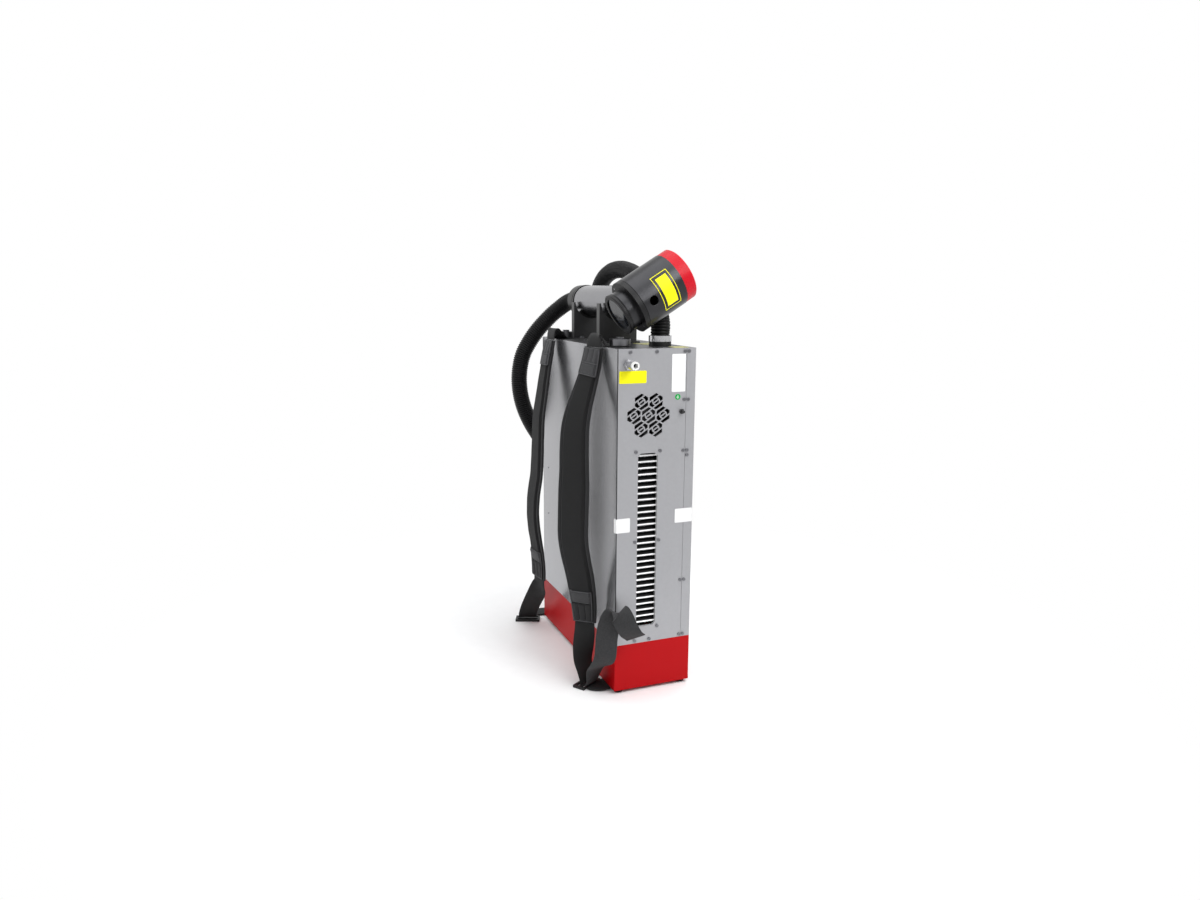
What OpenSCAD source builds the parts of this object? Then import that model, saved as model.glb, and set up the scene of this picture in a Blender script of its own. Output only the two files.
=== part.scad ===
// Backpack laser cleaning machine: a slim case with shoulder straps, and a cleaning gun that
// lies in a cradle on the top, joined to the case by one ribbed hose.
// Millimetres. The origin is the centre of the base tray's underside, +Z is up, the vent face
// looks along -Y and the wearer's face looks along -X.

/* [Case] */
// Width of the case
case_w = 145; // [130:1:180]
// Depth of the case, from the vent face to the connector face
case_d = 393; // [370:1:430]
// Height of the case without its feet
case_h = 600; // [590:1:640]
// Height of the base tray
tray_h = 84; // [70:1:96]
// Thickness of the sheet metal
sheet_t = 2; // [1.5:0.1:2.5]
// Height of the rubber feet
foot_h = 6; // [4:0.5:10]
// Radius of the rubber feet
foot_r = 9; // [7:0.5:12]
// Width of the return flange on the outer side cover
flange_w = 17; // [14:0.5:20]

/* [Vents] */
// Width across the flats of one hexagon vent
hex_flats = 24.5; // [20:0.5:26]
// Spacing of the hexagon vents, side by side
hex_pitch = 27; // [26.5:0.5:30]
// Width of the bars inside a hexagon vent
hex_bar = 2; // [1.5:0.1:2.6]
// Centre of the vents across the case, as a share of half its width
vent_x_share = -0.2; // [-0.25:0.01:-0.14]
// Distance from the top edge down to the centre of the hexagon vents
vent_drop = 112; // [100:1:120]
// Width of the long louvre opening
louvre_w = 36.5; // [30:0.5:40]
// Distance from the tray up to the louvre opening
louvre_rise = 30.3; // [24:0.1:46]
// Distance from the top edge down to the louvre opening
louvre_drop = 176.8; // [174:0.1:220]
// Number of louvre slats
slat_count = 28; // [20:1:30]

/* [Air inlet] */
// Distance of the inlet from the wearer's face
inlet_in = 19.7; // [18.5:0.1:22]
// Distance from the top edge down to the inlet
inlet_drop = 25.8; // [22:0.1:32]
// Outside diameter of the air tube that pushes in
air_tube_d = 8; // [6:0.5:8]

/* [Hose] */
// Outside diameter over the ribs
hose_d = 34; // [30:0.5:34]
// Bore of the hose
hose_bore_d = 26; // [22:0.5:27]
// Number of ribs
rib_count = 186; // [120:1:200]
// Wall of the gland round the hose
gland_wall = 3; // [3:0.1:5]

/* [Cradle] */
// Thickness of a saddle
saddle_t = 14; // [10:0.5:16]
// Width of a saddle
saddle_w = 74; // [72:1:80]
// Height of the saddles' top above the case
saddle_h = 71; // [62:1:74]
// Front face of the front saddle
saddle_front_y = -35; // [-40:1:-30]
// Front face of the rear saddle
saddle_rear_y = 98; // [90:1:100]

/* [Gun] */
// Diameter of the handle tube
handle_d = 58.6; // [56:0.2:60]
// Diameter of the head body
head_d = 93.2; // [90:0.2:96]
// Length of the head body
head_len = 79; // [74:0.5:84]
// Diameter of the lens barrel
barrel_d = 69.4; // [68:0.2:72]
// Lift of the lens-to-cap axis above level, in degrees
head_lift = 31.5; // [30:0.5:33]

/* [Straps] */
// Width of the webbing
web_w = 38; // [32:1:40]
// Thickness of the webbing
web_t = 1.8; // [1.4:0.1:2.2]
// Width of a shoulder pad at its widest
pad_w = 62; // [54:1:68]
// Thickness of a shoulder pad
pad_t = 13; // [10:0.5:15]
// Diameter of the strap knobs
knob_d = 35.5; // [30:0.5:36]

/* [Hidden] */
$fn = 48;
cut = 1;
seat_gap = 0.3;
run_gap = 0.05;
slip_gap = 0.2;
half_w = case_w / 2;
half_d = case_d / 2;
inner_w = half_w - sheet_t;
inner_d = half_d - sheet_t;
seam_x = half_w - flange_w;
seam_gap = 0.5;
vent_x = half_w * vent_x_share;
vent_z = case_h - vent_drop;
louvre_z0 = tray_h + louvre_rise;
louvre_z1 = case_h - louvre_drop;
inlet_x = -half_w + inlet_in;
inlet_z = case_h - inlet_drop;
gland_d = hose_d + 2 * gland_wall;
saddle_z = case_h + saddle_h;

// screws
m3_r = 1.5;
m3_hole_r = 1.65;
m3_head_r = 3;
m3_head_h = 1.7;
m3_len = 7;
m3_socket_r = 1.1;
m3_socket_deep = 1;
seam_screw_off = 3.7;
top_screw_drop = 5.5;
low_screw_rise = 4.6;
seam_screw_shares = [0, 0.162, 0.3364, 0.798, 1];
spare_screw_share = 0.014;
seam_screw_zs = [for (share = seam_screw_shares)
    top_screw_z() + (low_screw_z() - top_screw_z()) * share];
top_screw_shares = [-0.68, -0.014];
low_screw_shares = [-0.483, -0.097];
top_screw_xs = top_screw_shares * half_w;
low_screw_xs = low_screw_shares * half_w;
louvre_screw_out = 4.2;
louvre_screw_drop = 3.2;
louvre_screw_xs = [vent_x - louvre_w / 2 - louvre_screw_out, vent_x + louvre_w / 2 + louvre_screw_out];
louvre_screw_zs = [louvre_z0 - louvre_screw_drop, (louvre_z0 + louvre_z1) / 2,
    louvre_z1 + louvre_screw_drop];
function low_screw_z() = tray_h + low_screw_rise;
function top_screw_z() = case_h - top_screw_drop;
function spare_screw_z() = seam_screw_zs[2] - spare_screw_share * case_h;

// chassis
post_leg = 34;
post_leg_small = 5;
post_leg_side = 16;
rail_h = 14;
shelf_share = 0.5;
shelf_drop = 150;
shelf_zs = [case_h * shelf_share, case_h - shelf_drop];
shelf_sink_gap = 22;
top_fold_h = 12;
top_fold_gap = 2;
top_fold_x0 = -inner_w + post_leg_small + top_fold_gap;
top_fold_x1 = inner_w - post_leg - top_fold_gap;

// hexagon vents
hex_bar_share = 0.235;
hex_ring_share = 0.215;
hex_bar_turn = 34;

// fan
fan_w = 80;
fan_t = 25;
fan_bore_r = 38;
fan_wall = 3;
fan_hub_r = 16;
fan_spin_r = 2;
fan_blades = 7;
fan_tip_gap = 1.5;
fan_strut_w = 5;
fan_plate_t = 3;
fan_blade_t = 1.4;
fan_blade_w = 20;
fan_blade_pitch = 38;

// louvre
slat_t = 1.5;
slat_lean = 38;
slat_depth = 10;
grille_rim = 9;
louvre_chamfer = 5;

// air inlet
inlet_hex = 17;
inlet_hex_h = 8;
inlet_body_r = 7.6;
inlet_body_h = 15;
inlet_shank_r = 5;
inlet_shank_len = 10;
inlet_ring_r = 6.9;
inlet_ring_h = 5;
inlet_ring_gap = 1.8;
inlet_sleeve_r = 5.6;
inlet_sleeve_len = 8;
inlet_bore_deep = 20;

// earth stud
earth_seam_gap = 8.3;
earth_drop = 108;
earth_x = seam_x - earth_seam_gap;
earth_z = case_h - earth_drop;
earth_hex = 8;
earth_hex_h = 3;
earth_r = 2.5;
earth_len = 9;

// gland
gland_x = 33;
gland_in = 59.5;
gland_y = -half_d + gland_in;
gland_base_h = 8;
gland_ring_h = 10;
gland_shank_wall = 1.6;
gland_shank_r = hose_d / 2 + gland_shank_wall;
gland_shank_len = 14;
gland_seat_deep = 10;
gland_seat_z = case_h - gland_seat_deep;
gland_bore_r = 9;
gland_notch = 1.2;

// hose
hose_root_drop = 2.2;
hose_sides = 8;
hose_bore_rings = 62;
hose_smooth = 10;
hose_route = [
    [33, -137, 590.2], [33, -137, 607], [33, -137, 623], [35.1, -133.5, 637], [36.2, -123.7, 655.2],
    [39.7, -107.4, 670.8], [46.6, -80, 687], [47.3, -51.3, 702.1], [46.7, -22.4, 714.7],
    [48.1, 10, 724.1], [51.4, 50, 731.2], [54.7, 92, 734.7], [56.3, 134, 732.7], [57.2, 170, 724.1],
    [58.9, 198, 712.2], [60.6, 220, 695.4], [62.9, 236, 673.6], [66.1, 247, 648], [69, 258, 610],
    [77, 265, 555], [87, 270, 490], [94, 272, 425], [98, 272, 372], [96, 272, 318],
    [88.2, 272, 289], [67, 272, 267.8], [38, 272, 260], [9, 272, 267.8], [-12.2, 272, 289],
    [-28, 272, 322.5], [-43.3, 272, 356.4], [-60.9, 272, 385.6], [-77.8, 271, 413.7],
    [-93.1, 270, 449.4], [-101.2, 269, 487.6], [-101.6, 267, 524.2], [-94.6, 264, 559.2],
    [-79.9, 259, 588.7], [-64, 254, 612], [-48, 249, 630.5], [-34, 244.5, 645],
    [-20.5, 236.5, 657.5], [-11.4, 226.5, 666.4], [-5.2, 212, 672.2], [-3, 195, 674],
    [-3, 178, 674], [-3, 162.2, 674]];

// cradle
plate_t = 3;
liner_t = 4.6;
notch_r = handle_d / 2 + liner_t + seat_gap;
liner_arc = 92;
plate_ahead = 15;
plate_y0 = saddle_front_y - plate_ahead;
plate_over = 2;
cradle_screw_r = 2.5;
cradle_screw_head_r = 4.5;
cradle_screw_head_h = 3;
cradle_screw_len = 9;
cradle_screw_in = 12;

// handle
handle_x = -3;
handle_up = 74;
handle_z = case_h + handle_up;
saddle_x0 = handle_x - saddle_w / 2;
handle_ahead = 85;
handle_y0 = -handle_ahead;
handle_y1 = 120;
handle_wall = 3;
neck_r = 24;
neck_bore_r = 20;
neck_len = 60;
neck_end_y = handle_y0 - neck_len;
neck_step = 5;
tail_len = 17;
tail_step = 1.2;
tail_groove = 2;
collar_len = 25;
collar_round = 7;
button_y = -4;
button_r = 7;
button_h = 6;
button_proud = 4;
bezel_r = 10;
bezel_h = 2.5;
collimator_off = 12.5;
collimator_r = 10;
collimator_len = 46;
collimator_disc_t = 4;
collimator_in = 25;
collimator_y = handle_y0 + collimator_in;

// head
head_side = 23;
head_ahead = 81;
head_up = 0.6;
head_at = [handle_x - head_side, handle_y0 - head_ahead, handle_z + head_up];
head_wall = 5;
flange_screws = 6;
flange_screw_r = 1.6;
head_back = 6.7;
head_groove = 0.7;
flange_t = 8.6;
barrel_len = 16;
ring_len = 7.5;
head_start = -head_back;
flange_start = head_start - head_groove - flange_t;
barrel_start = flange_start - barrel_len;
barrel_bore_r = 30;
ring_start = barrel_start - ring_len;
ring_r = 36.6;
ring_lip_r = 31;
ring_lip_t = 2.2;
glass_t = 2;
glass_gap = 0.3;
lens_t = 7;
lens_deep = 8;
lens_at = flange_start - lens_deep;
cap_r_share = 0.99;
cap_len = 21;
cap_bevel = 2;
cap_face_t = 4;
cap_skirt_t = 3;
cap_hook_len = 5;
port_r = 7.9;
port_chamfer = 1.2;
port_turn = -87;
port_at = 12;
beam_t = 19.3;
beam_hole_r = 6;
galvo_r = 8;
galvo_len = 26;
galvo_start = 14;
galvo_shaft_r = 1.5;
mirror_w = 12;
mirror_h = 18;
mirror_t = 1.2;
galvo_block = 22;
galvo_chip = [16, 10, 5];
board_t = 1.6;

// straps
knob_x_share = -0.5931;
knob_x = half_w * knob_x_share;
knob_plate_gap = 5.25;
knob_front_y = gland_y;
knob_rear_y = cradle_plate_y1() + knob_plate_gap + knob_d / 2;
knob_h = 11;
knob_stud_r = 6.75;
knob_stud_h = 3;
bolt_r = 4;
bolt_head_r = 7;
bolt_head_h = 5;
bolt_up = 13.5;
web_lift = 0.1;
pad_sides = 12;
pad_round_share = 0.62;
slider_len = 51;
slider_w = 24;
slider_t = 4.6;
slider_slot = 7;
slider_bar = 4;
slider_end = 4;
slider_front_shares = [-1.4207, -0.7125];
slider_front_turn = 33;
slider_rear_shares = [-1.531, 0.9873];
slider_rear_turn = -22;
floor_gap = 0.3;
floor_z = -foot_h + floor_gap;

// strap routes; each row ends with the turn of the webbing's width from +X towards -Y
// over the top: shares of half the width, of the knob's place, and the lift in widths of webbing
// pads: shares of half the width, of the knob's place and of the height
// below the pads: shares of half the width, of the knob's place, of half the depth and of the height
// on the floor: shares of half the width, of half the depth and of the feet's height
// tail: shares of half the width, of half the depth and of the height
front_top_shares = [[-0.469, 1.0438, 0, 124], [-0.5931, 1, 0, 124], [-0.7172, 0.9562, 0, 124],
    [-0.8138, 0.9241, 0.0105, 123], [-0.8897, 0.8978, 0.1316, 118], [-0.9517, 0.8788, 0.3316, 110],
    [-1.0248, 0.865, 0.4895, 98], [-1.0924, 0.8562, 0.4421, 82], [-1.1283, 0.854, 0.2237, 73],
    [-1.1359, 0.854, -0.0605, 70]];
front_pad_shares = [[-1.1379, 0.854, 0.9967, 70], [-1.1724, 0.854, 0.9667, 68],
    [-1.2621, 0.854, 0.9217, 65], [-1.3931, 0.854, 0.87, 62], [-1.5241, 0.854, 0.82, 60],
    [-1.6138, 0.854, 0.7667, 58], [-1.6414, 0.854, 0.7, 56], [-1.6414, 0.854, 0.6333, 55],
    [-1.6552, 0.854, 0.5667, 55], [-1.669, 0.854, 0.5, 55], [-1.669, 0.854, 0.4367, 55],
    [-1.6, 0.854, 0.38, 55], [-1.5034, 0.854, 0.3267, 55], [-1.4414, 0.854, 0.2833, 54],
    [-1.4, 0.854, 0.2467, 52], [-1.3724, 0.854, 0.21, 49], [-1.3586, 0.8569, 0.1733, 45]];
front_pad_width_shares = [0.68, 0.72, 0.76, 0.83, 0.9, 0.94, 0.95, 0.96, 1, 1, 1, 1, 0.99, 0.96,
    0.9, 0.8, 0.68];
front_low_shares = [[-1.3579, 0.8573, 0, 0.1722, 45], [-1.3724, 0.8686, 0, 0.14, 34],
    [-1.4207, 0.45, -0.3097, 0.1033, 14], [-1.4593, 0.2, -0.5069, 0.0633, -10],
    [-1.451, 0, -0.686, 0.0367, -24], [-1.4317, 0, -0.7064, 0.0167, -30],
    [-1.4207, 0, -0.7125, -0.0003, -33]];
front_floor_shares = [[-1.3117, -0.7746, -0.6, -33], [-1.2662, -0.8, -0.5667, -36],
    [-1.1448, -0.8183, -0.4333, -80], [-0.9793, -0.8041, -0.2333, -104],
    [-0.7724, -0.7812, -0.2, -106]];
tail_shares = [[-1.3421, -0.7573, 0.0002, -33], [-1.3048, -0.7786, 0.02, -31],
    [-1.3172, -0.8448, 0.055, -12], [-1.3034, -0.9466, 0.0817, 10], [-1.269, -1.0102, 0.11, 20],
    [-1.2621, -1.0331, 0.1467, 22], [-1.2552, -1.0483, 0.1867, 22], [-1.2069, -1.0687, 0.2267, 22],
    [-1.1172, -1.0967, 0.2517, 22], [-1.0414, -1.1298, 0.2567, 22], [-0.9793, -1.1552, 0.2433, 22],
    [-0.8897, -1.1654, 0.2183, 22], [-0.7655, -1.1552, 0.195, 22], [-0.6124, -1.1349, 0.1775, 22]];
rear_top_shares = [[-0.469, 1.0438, 0, 56], [-0.5931, 1, 0, 56], [-0.7172, 0.9562, 0, 56],
    [-0.8138, 0.9241, 0.0105, 57], [-0.8897, 0.8978, 0.1316, 62], [-0.9517, 0.8788, 0.3316, 70],
    [-1.0207, 0.865, 0.4895, 80], [-1.0841, 0.8562, 0.4421, 87], [-1.12, 0.854, 0.2237, 88],
    [-1.129, 0.854, -0.0605, 88]];
rear_pad_shares = [[-1.131, 0.854, 0.9967, 88], [-1.1793, 0.854, 0.9667, 88],
    [-1.2552, 0.854, 0.9217, 88], [-1.331, 0.854, 0.8667, 88], [-1.4069, 0.854, 0.8083, 88],
    [-1.4828, 0.854, 0.75, 88], [-1.5103, 0.854, 0.6833, 88], [-1.531, 0.854, 0.6167, 88],
    [-1.5655, 0.854, 0.55, 88], [-1.6483, 0.854, 0.4833, 88], [-1.6759, 0.854, 0.42, 88],
    [-1.6414, 0.854, 0.3633, 87], [-1.5793, 0.854, 0.3133, 86], [-1.5379, 0.854, 0.2733, 84],
    [-1.5103, 0.8577, 0.23, 81], [-1.4966, 0.8723, 0.19, 77]];
rear_pad_width_shares = [0.68, 0.7, 0.74, 0.8, 0.88, 0.92, 0.94, 0.96, 1, 1, 1, 1, 0.98, 0.94, 0.86,
    0.72];
rear_low_shares = [[-1.4959, 0.8733, 0, 0.1888, 77], [-1.491, 0.86, 0.0157, 0.1667, 75],
    [-1.4897, 0.8, 0.0885, 0.1467, 60], [-1.5007, 0.6, 0.2941, 0.1183, 44],
    [-1.52, 0.34, 0.5619, 0.0867, 34], [-1.5421, 0, 0.9059, 0.045, 27],
    [-1.5421, 0, 0.9771, 0.0133, 24], [-1.531, 0, 0.9873, 0.0008, 22]];
rear_floor_shares = [[-1.4566, 1.0555, -0.6, 22], [-1.4248, 1.084, -0.6, 24],
    [-1.331, 1.1247, -0.567, 50], [-1.1586, 1.1501, -0.533, 84], [-0.9379, 1.1323, -0.433, 110],
    [-0.6897, 1.0941, -0.25, 120], [-0.4414, 1.0433, -0.183, 128], [-0.2345, 0.9924, -0.183, 128]];

function over_top(shares, knob_y) = [for (p = shares) [half_w * p[0], knob_y * p[1],
    case_h + web_lift + web_t / 2 + web_w * p[2], p[3]]];
function down_pad(shares, knob_y) = [for (p = shares) [half_w * p[0], knob_y * p[1], case_h * p[2], p[3]]];
function below_pad(shares, knob_y) = [for (p = shares) [half_w * p[0], knob_y * p[1] + half_d * p[2],
    case_h * p[3], p[4]]];
function on_floor(shares) = [for (p = shares) [half_w * p[0], half_d * p[1], foot_h * p[2], p[3]]];
function up_face(shares) = [for (p = shares) [half_w * p[0], half_d * p[1], case_h * p[2], p[3]]];

// rear fittings
estop_drop = 70;
key_drop = 130;
rocker_drop_z = 185;
mains_rise = 66;
estop_z = case_h - estop_drop;
key_z = case_h - key_drop;
rocker_z = case_h - rocker_drop_z;
mains_z = tray_h + mains_rise;
slot_w = 60;
slot_h = 4;
slot_count = 10;
slot_z_share = 0.302;
slot_pitch_share = 0.0377;
estop_shank_r = 11;
estop_ring_r = 15;
estop_ring_h = 4;
estop_head_r = 14;
estop_stem_r = 8;
estop_travel = 4;
estop_head_h = 9;
key_shank_r = 9.5;
key_ring_r = 12;
key_ring_h = 3;
key_core_r = 8;
key_grip = [14, 3, 16];
rocker_w = 21;
rocker_h = 19;
rocker_rim = 2;
rocker_deep = 14;
rocker_tilt = 10;
rocker_drop = 2;
rocker_low = 2;
rocker_high = 3;
rocker_dip = 1.2;
rocker_side_gap = 0.8;
rocker_pin_r = 1;
switch_deep = 18;
key_core_len = 14;
estop_stem_len = 8;
mains_w = 28;
mains_h = 24;
mains_flange = [48, 2.5, 30];
mains_deep = 20;
mains_wall = 2.5;
mains_pin = [2, 10, 4];

// inside
source_size = [100, 220, 150];
source_rear_gap = 24.5;
source_at = [-source_size.x / 2, inner_d - source_rear_gap - source_size.y, sheet_t];
supply_size = [100, 190, 60];
supply_rear_gap = 34.5;
supply_at = [-supply_size.x / 2, inner_d - supply_rear_gap - supply_size.y, shelf_zs[0]];
supply_groove = 3;
supply_rows = 12;
supply_top_share = 0.7;
board_size = [90, 150, 1.6];
board_rear_gap = 64.5;
board_up = 10;
board_at = [-board_size.x / 2, inner_d - board_rear_gap - board_size.y, shelf_zs[1] + board_up];
board_post_r = 3;
chip_x_shares = [0.2, 0.6];
chip_y_shares = [0.15, 0.45, 0.75];
chip_size = [18, 18, 3];
sink_over = 1.55;
sink_slat_gap = 2.5;
sink_size = [54, 60, louvre_z1 - louvre_z0 + 2 * sink_over];
sink_at = [vent_x - sink_size.x / 2, -inner_d + slat_depth + sink_slat_gap, louvre_z0 - sink_over];
shelf_y0 = sink_at.y + sink_size.y + shelf_sink_gap;
sink_base_t = 6;
sink_fin_t = 1.6;
sink_fins = 9;
foot_in = 12;
foot_x = half_w - foot_in;
foot_y = half_d - foot_in;
foot_taper_share = 0.9;
valve_size = [28, 34, 36];
valve_inlet_off = 13.2;
valve_front_gap = 14.5;
valve_at = [inlet_x - valve_inlet_off, -inner_d + valve_front_gap, case_h - sheet_t - valve_size.z];
valve_coil_r = 9;
valve_coil_h = 22;
line_r = 4;
fibre_r = 3;
fibre_gland_off = 3;
fibre_top_gap = 22;
fibre_x = gland_x + fibre_gland_off;
fibre_z = source_at.z + source_size.z - fibre_top_gap;

// shared shapes

module block(a, b) { translate(a) cube(b - a); }

module rod(r, h, at = [0, 0, 0]) { translate(at) cylinder(r = r, h = h); }

module ring(outer, inner, h) {
    difference() {
        cylinder(r = outer, h = h);
        translate([0, 0, -cut]) cylinder(r = inner, h = h + 2 * cut);
    }
}

module front_wall() { rotate([90, 0, 0]) children(); }

module rear_wall() { rotate([-90, 0, 0]) children(); }

module pan_screw() {
    difference() {
        union() {
            cylinder(r = m3_head_r, h = m3_head_h);
            translate([0, 0, -m3_len]) cylinder(r = m3_r, h = m3_len + m3_head_h / 2);
        }
        translate([0, 0, m3_head_h - m3_socket_deep])
            cylinder(r = m3_socket_r, h = m3_socket_deep + cut, $fn = 6);
    }
}

// places of the screws on one narrow face, as x and z
function seam_places() = concat([for (z = seam_screw_zs, side = [-1, 1])
    [seam_x + side * seam_screw_off, z]], [[seam_x + seam_screw_off, spare_screw_z()]]);
function edge_places() = concat([for (x = top_screw_xs) [x, top_screw_z()]],
    [for (x = low_screw_xs) [x, low_screw_z()]]);
function louvre_places() = [for (x = louvre_screw_xs, z = louvre_screw_zs) [x, z]];

module drill_front(places, r = m3_hole_r) {
    for (p = places)
        translate([p.x, -half_d + m3_len + cut, p.y]) front_wall() cylinder(r = r, h = m3_len + 2 * cut);
}

module drill_rear(places, r = m3_hole_r) {
    for (p = places)
        translate([p.x, half_d - m3_len - cut, p.y]) rear_wall() cylinder(r = r, h = m3_len + 2 * cut);
}

// case

module base_tray() {
    color("firebrick") difference() {
        block([-half_w, -half_d, 0], [half_w, half_d, tray_h]);
        block([-inner_w, -inner_d, sheet_t], [inner_w, inner_d, tray_h + cut]);
    }
}

module base_feet() {
    color("black") for (sx = [-1, 1], sy = [-1, 1])
        translate([sx * foot_x, sy * foot_y, -foot_h])
            cylinder(r1 = foot_r * foot_taper_share, r2 = foot_r, h = foot_h);
}

module post(x0, x1, side_x, y0, y_in, leg_y) {
    block([x0, min(y0, y_in), sheet_t], [x1, max(y0, y_in), case_h - sheet_t]);
    block([min(side_x, side_x - sign(side_x) * sheet_t), min(y0, leg_y), sheet_t],
        [max(side_x, side_x - sign(side_x) * sheet_t), max(y0, leg_y), case_h - sheet_t]);
}

module chassis_frame() {
    color("darkgray") difference() {
        union() {
            for (s = [-1, 1]) {
                post(-inner_w, -inner_w + post_leg_small, -inner_w, s * inner_d,
                    s * (inner_d - sheet_t), s * (inner_d - post_leg_side));
                post(inner_w - post_leg, inner_w, inner_w, s * inner_d,
                    s * (inner_d - sheet_t), s * (inner_d - post_leg_side));
                block([-inner_w, min(s * inner_d, s * (inner_d - sheet_t)), tray_h - sheet_t],
                    [inner_w, max(s * inner_d, s * (inner_d - sheet_t)), tray_h + rail_h]);
            }
            for (z = shelf_zs)
                block([-inner_w, shelf_y0, z - sheet_t], [inner_w, inner_d, z]);
        }
        drill_front(concat(seam_places(), edge_places()));
        drill_rear(concat(seam_places(), edge_places()));
        drill_front([[earth_x, earth_z]], earth_r + slip_gap);
    }
}

module wearer_cover() {
    color("silver") block([-half_w, -half_d, tray_h], [-inner_w, half_d, case_h]);
}

module side_cover() {
    color("silver") difference() {
        union() {
            block([inner_w, -half_d, tray_h], [half_w, half_d, case_h]);
            for (s = [-1, 1])
                block([seam_x, min(s * half_d, s * inner_d), tray_h],
                    [half_w, max(s * half_d, s * inner_d), case_h]);
        }
        drill_front(seam_places());
        drill_rear(seam_places());
    }
}

// one hexagon vent: a hexagon less the bars that cross it
module hex_cut() {
    corner_r = hex_flats / sqrt(3);
    bar_off = hex_flats * hex_bar_share;
    ring_r = hex_flats * hex_ring_share;
    difference() {
        rotate(30) circle(r = corner_r, $fn = 6);
        rotate(hex_bar_turn) {
            for (s = [-1, 1])
                translate([-hex_flats, s * bar_off - hex_bar / 2]) square([2 * hex_flats, hex_bar]);
            translate([-ring_r, -hex_bar / 2]) square([2 * ring_r, hex_bar]);
            intersection() {
                difference() {
                    circle(r = ring_r + hex_bar);
                    circle(r = ring_r);
                }
                square([hex_flats, 2 * bar_off], center = true);
            }
        }
    }
}

module hex_vents() {
    row = hex_pitch * sin(60);
    places = concat([for (i = [-1, 0, 1]) [i * hex_pitch, 0]],
        [for (i = [-1, 1], j = [-1, 1]) [i * hex_pitch / 2, j * row]]);
    for (p = places) translate(p) hex_cut();
}

module louvre_outline(grow = 0) {
    w = louvre_w / 2 + grow;
    c = louvre_chamfer;
    polygon([[vent_x - w, louvre_z0 - grow + c], [vent_x - w + c, louvre_z0 - grow],
        [vent_x + w - c, louvre_z0 - grow], [vent_x + w, louvre_z0 - grow + c],
        [vent_x + w, louvre_z1 + grow - c], [vent_x + w - c, louvre_z1 + grow],
        [vent_x - w + c, louvre_z1 + grow], [vent_x - w, louvre_z1 + grow - c]]);
}

module front_panel() {
    color("silver") difference() {
        block([-inner_w, -half_d, tray_h], [seam_x - seam_gap, -inner_d, case_h]);
        translate([0, -inner_d + cut, 0]) front_wall() linear_extrude(sheet_t + 2 * cut) {
            translate([vent_x, vent_z]) hex_vents();
            louvre_outline();
        }
        drill_front(concat(seam_places(), edge_places(), louvre_places()));
        drill_front([[inlet_x, inlet_z]], inlet_shank_r + slip_gap);
        drill_front([[earth_x, earth_z]], earth_r + slip_gap);
    }
}

module rear_panel() {
    slot_pitch = (rocker_z - mains_z) * slot_pitch_share;
    slot_z = mains_z + (rocker_z - mains_z) * slot_z_share;
    color("silver") difference() {
        block([-inner_w, inner_d, tray_h], [seam_x - seam_gap, half_d, case_h]);
        for (i = [0:slot_count - 1])
            block([-slot_w / 2, inner_d - cut, slot_z + i * slot_pitch],
                [slot_w / 2, half_d + cut, slot_z + i * slot_pitch + slot_h]);
        drill_rear(concat(seam_places(), edge_places()));
        drill_rear([[0, estop_z]], estop_shank_r + slip_gap);
        drill_rear([[0, key_z]], key_shank_r + slip_gap);
        block([-rocker_w / 2 - slip_gap, inner_d - cut, rocker_z - rocker_h / 2 - slip_gap],
            [rocker_w / 2 + slip_gap, half_d + cut, rocker_z + rocker_h / 2 + slip_gap]);
        block([-mains_w / 2 - slip_gap, inner_d - cut, mains_z - mains_h / 2 - slip_gap],
            [mains_w / 2 + slip_gap, half_d + cut, mains_z + mains_h / 2 + slip_gap]);
    }
}

module top_panel() {
    color("dimgray") difference() {
        union() {
            block([-inner_w, -inner_d, case_h - sheet_t], [inner_w, inner_d, case_h]);
            for (s = [-1, 1])
                block([top_fold_x0, min(s * inner_d, s * (inner_d - sheet_t)), case_h - top_fold_h],
                    [top_fold_x1, max(s * inner_d, s * (inner_d - sheet_t)), case_h]);
        }
        rod(gland_shank_r + slip_gap, sheet_t + 2 * cut, [gland_x, gland_y, case_h - sheet_t - cut]);
        for (y = [knob_front_y, knob_rear_y])
            rod(bolt_r + slip_gap, sheet_t + 2 * cut, [knob_x, y, case_h - sheet_t - cut]);
        for (p = cradle_screw_places())
            rod(cradle_screw_r + slip_gap, sheet_t + 2 * cut, [p.x, p.y, case_h - sheet_t - cut]);
        drill_front(edge_places());
        drill_rear(edge_places());
    }
}

module panel_screws() {
    color("gainsboro") {
        for (p = concat(seam_places(), edge_places(), louvre_places()))
            translate([p.x, -half_d, p.y]) front_wall() pan_screw();
        for (p = concat(seam_places(), edge_places()))
            translate([p.x, half_d, p.y]) rear_wall() pan_screw();
    }
}

module louvre_grille() {
    pitch = (louvre_z1 - louvre_z0) / slat_count;
    y0 = -inner_d;
    color("gainsboro") difference() {
        union() {
            difference() {
                block([vent_x - louvre_w / 2 - grille_rim, y0, louvre_z0 - grille_rim + slip_gap],
                    [vent_x + louvre_w / 2 + grille_rim, y0 + sheet_t, louvre_z1 + grille_rim]);
                translate([0, y0 + sheet_t + cut, 0]) front_wall()
                    linear_extrude(sheet_t + 2 * cut) louvre_outline();
            }
            for (i = [0:slat_count - 1])
                translate([vent_x - louvre_w / 2 - slat_t, y0 + slat_t, louvre_z0 + (i + 0.5) * pitch])
                    rotate([slat_lean, 0, 0])
                        cube([louvre_w + 2 * slat_t, slat_depth, slat_t]);
            for (s = [-1, 1])
                block([vent_x + s * (louvre_w / 2 + slat_t) - slat_t, y0 + sheet_t / 2, louvre_z0],
                    [vent_x + s * (louvre_w / 2 + slat_t) + slat_t, y0 + slat_depth, louvre_z1]);
        }
        drill_front(louvre_places());
    }
}

// ventilation

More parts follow.
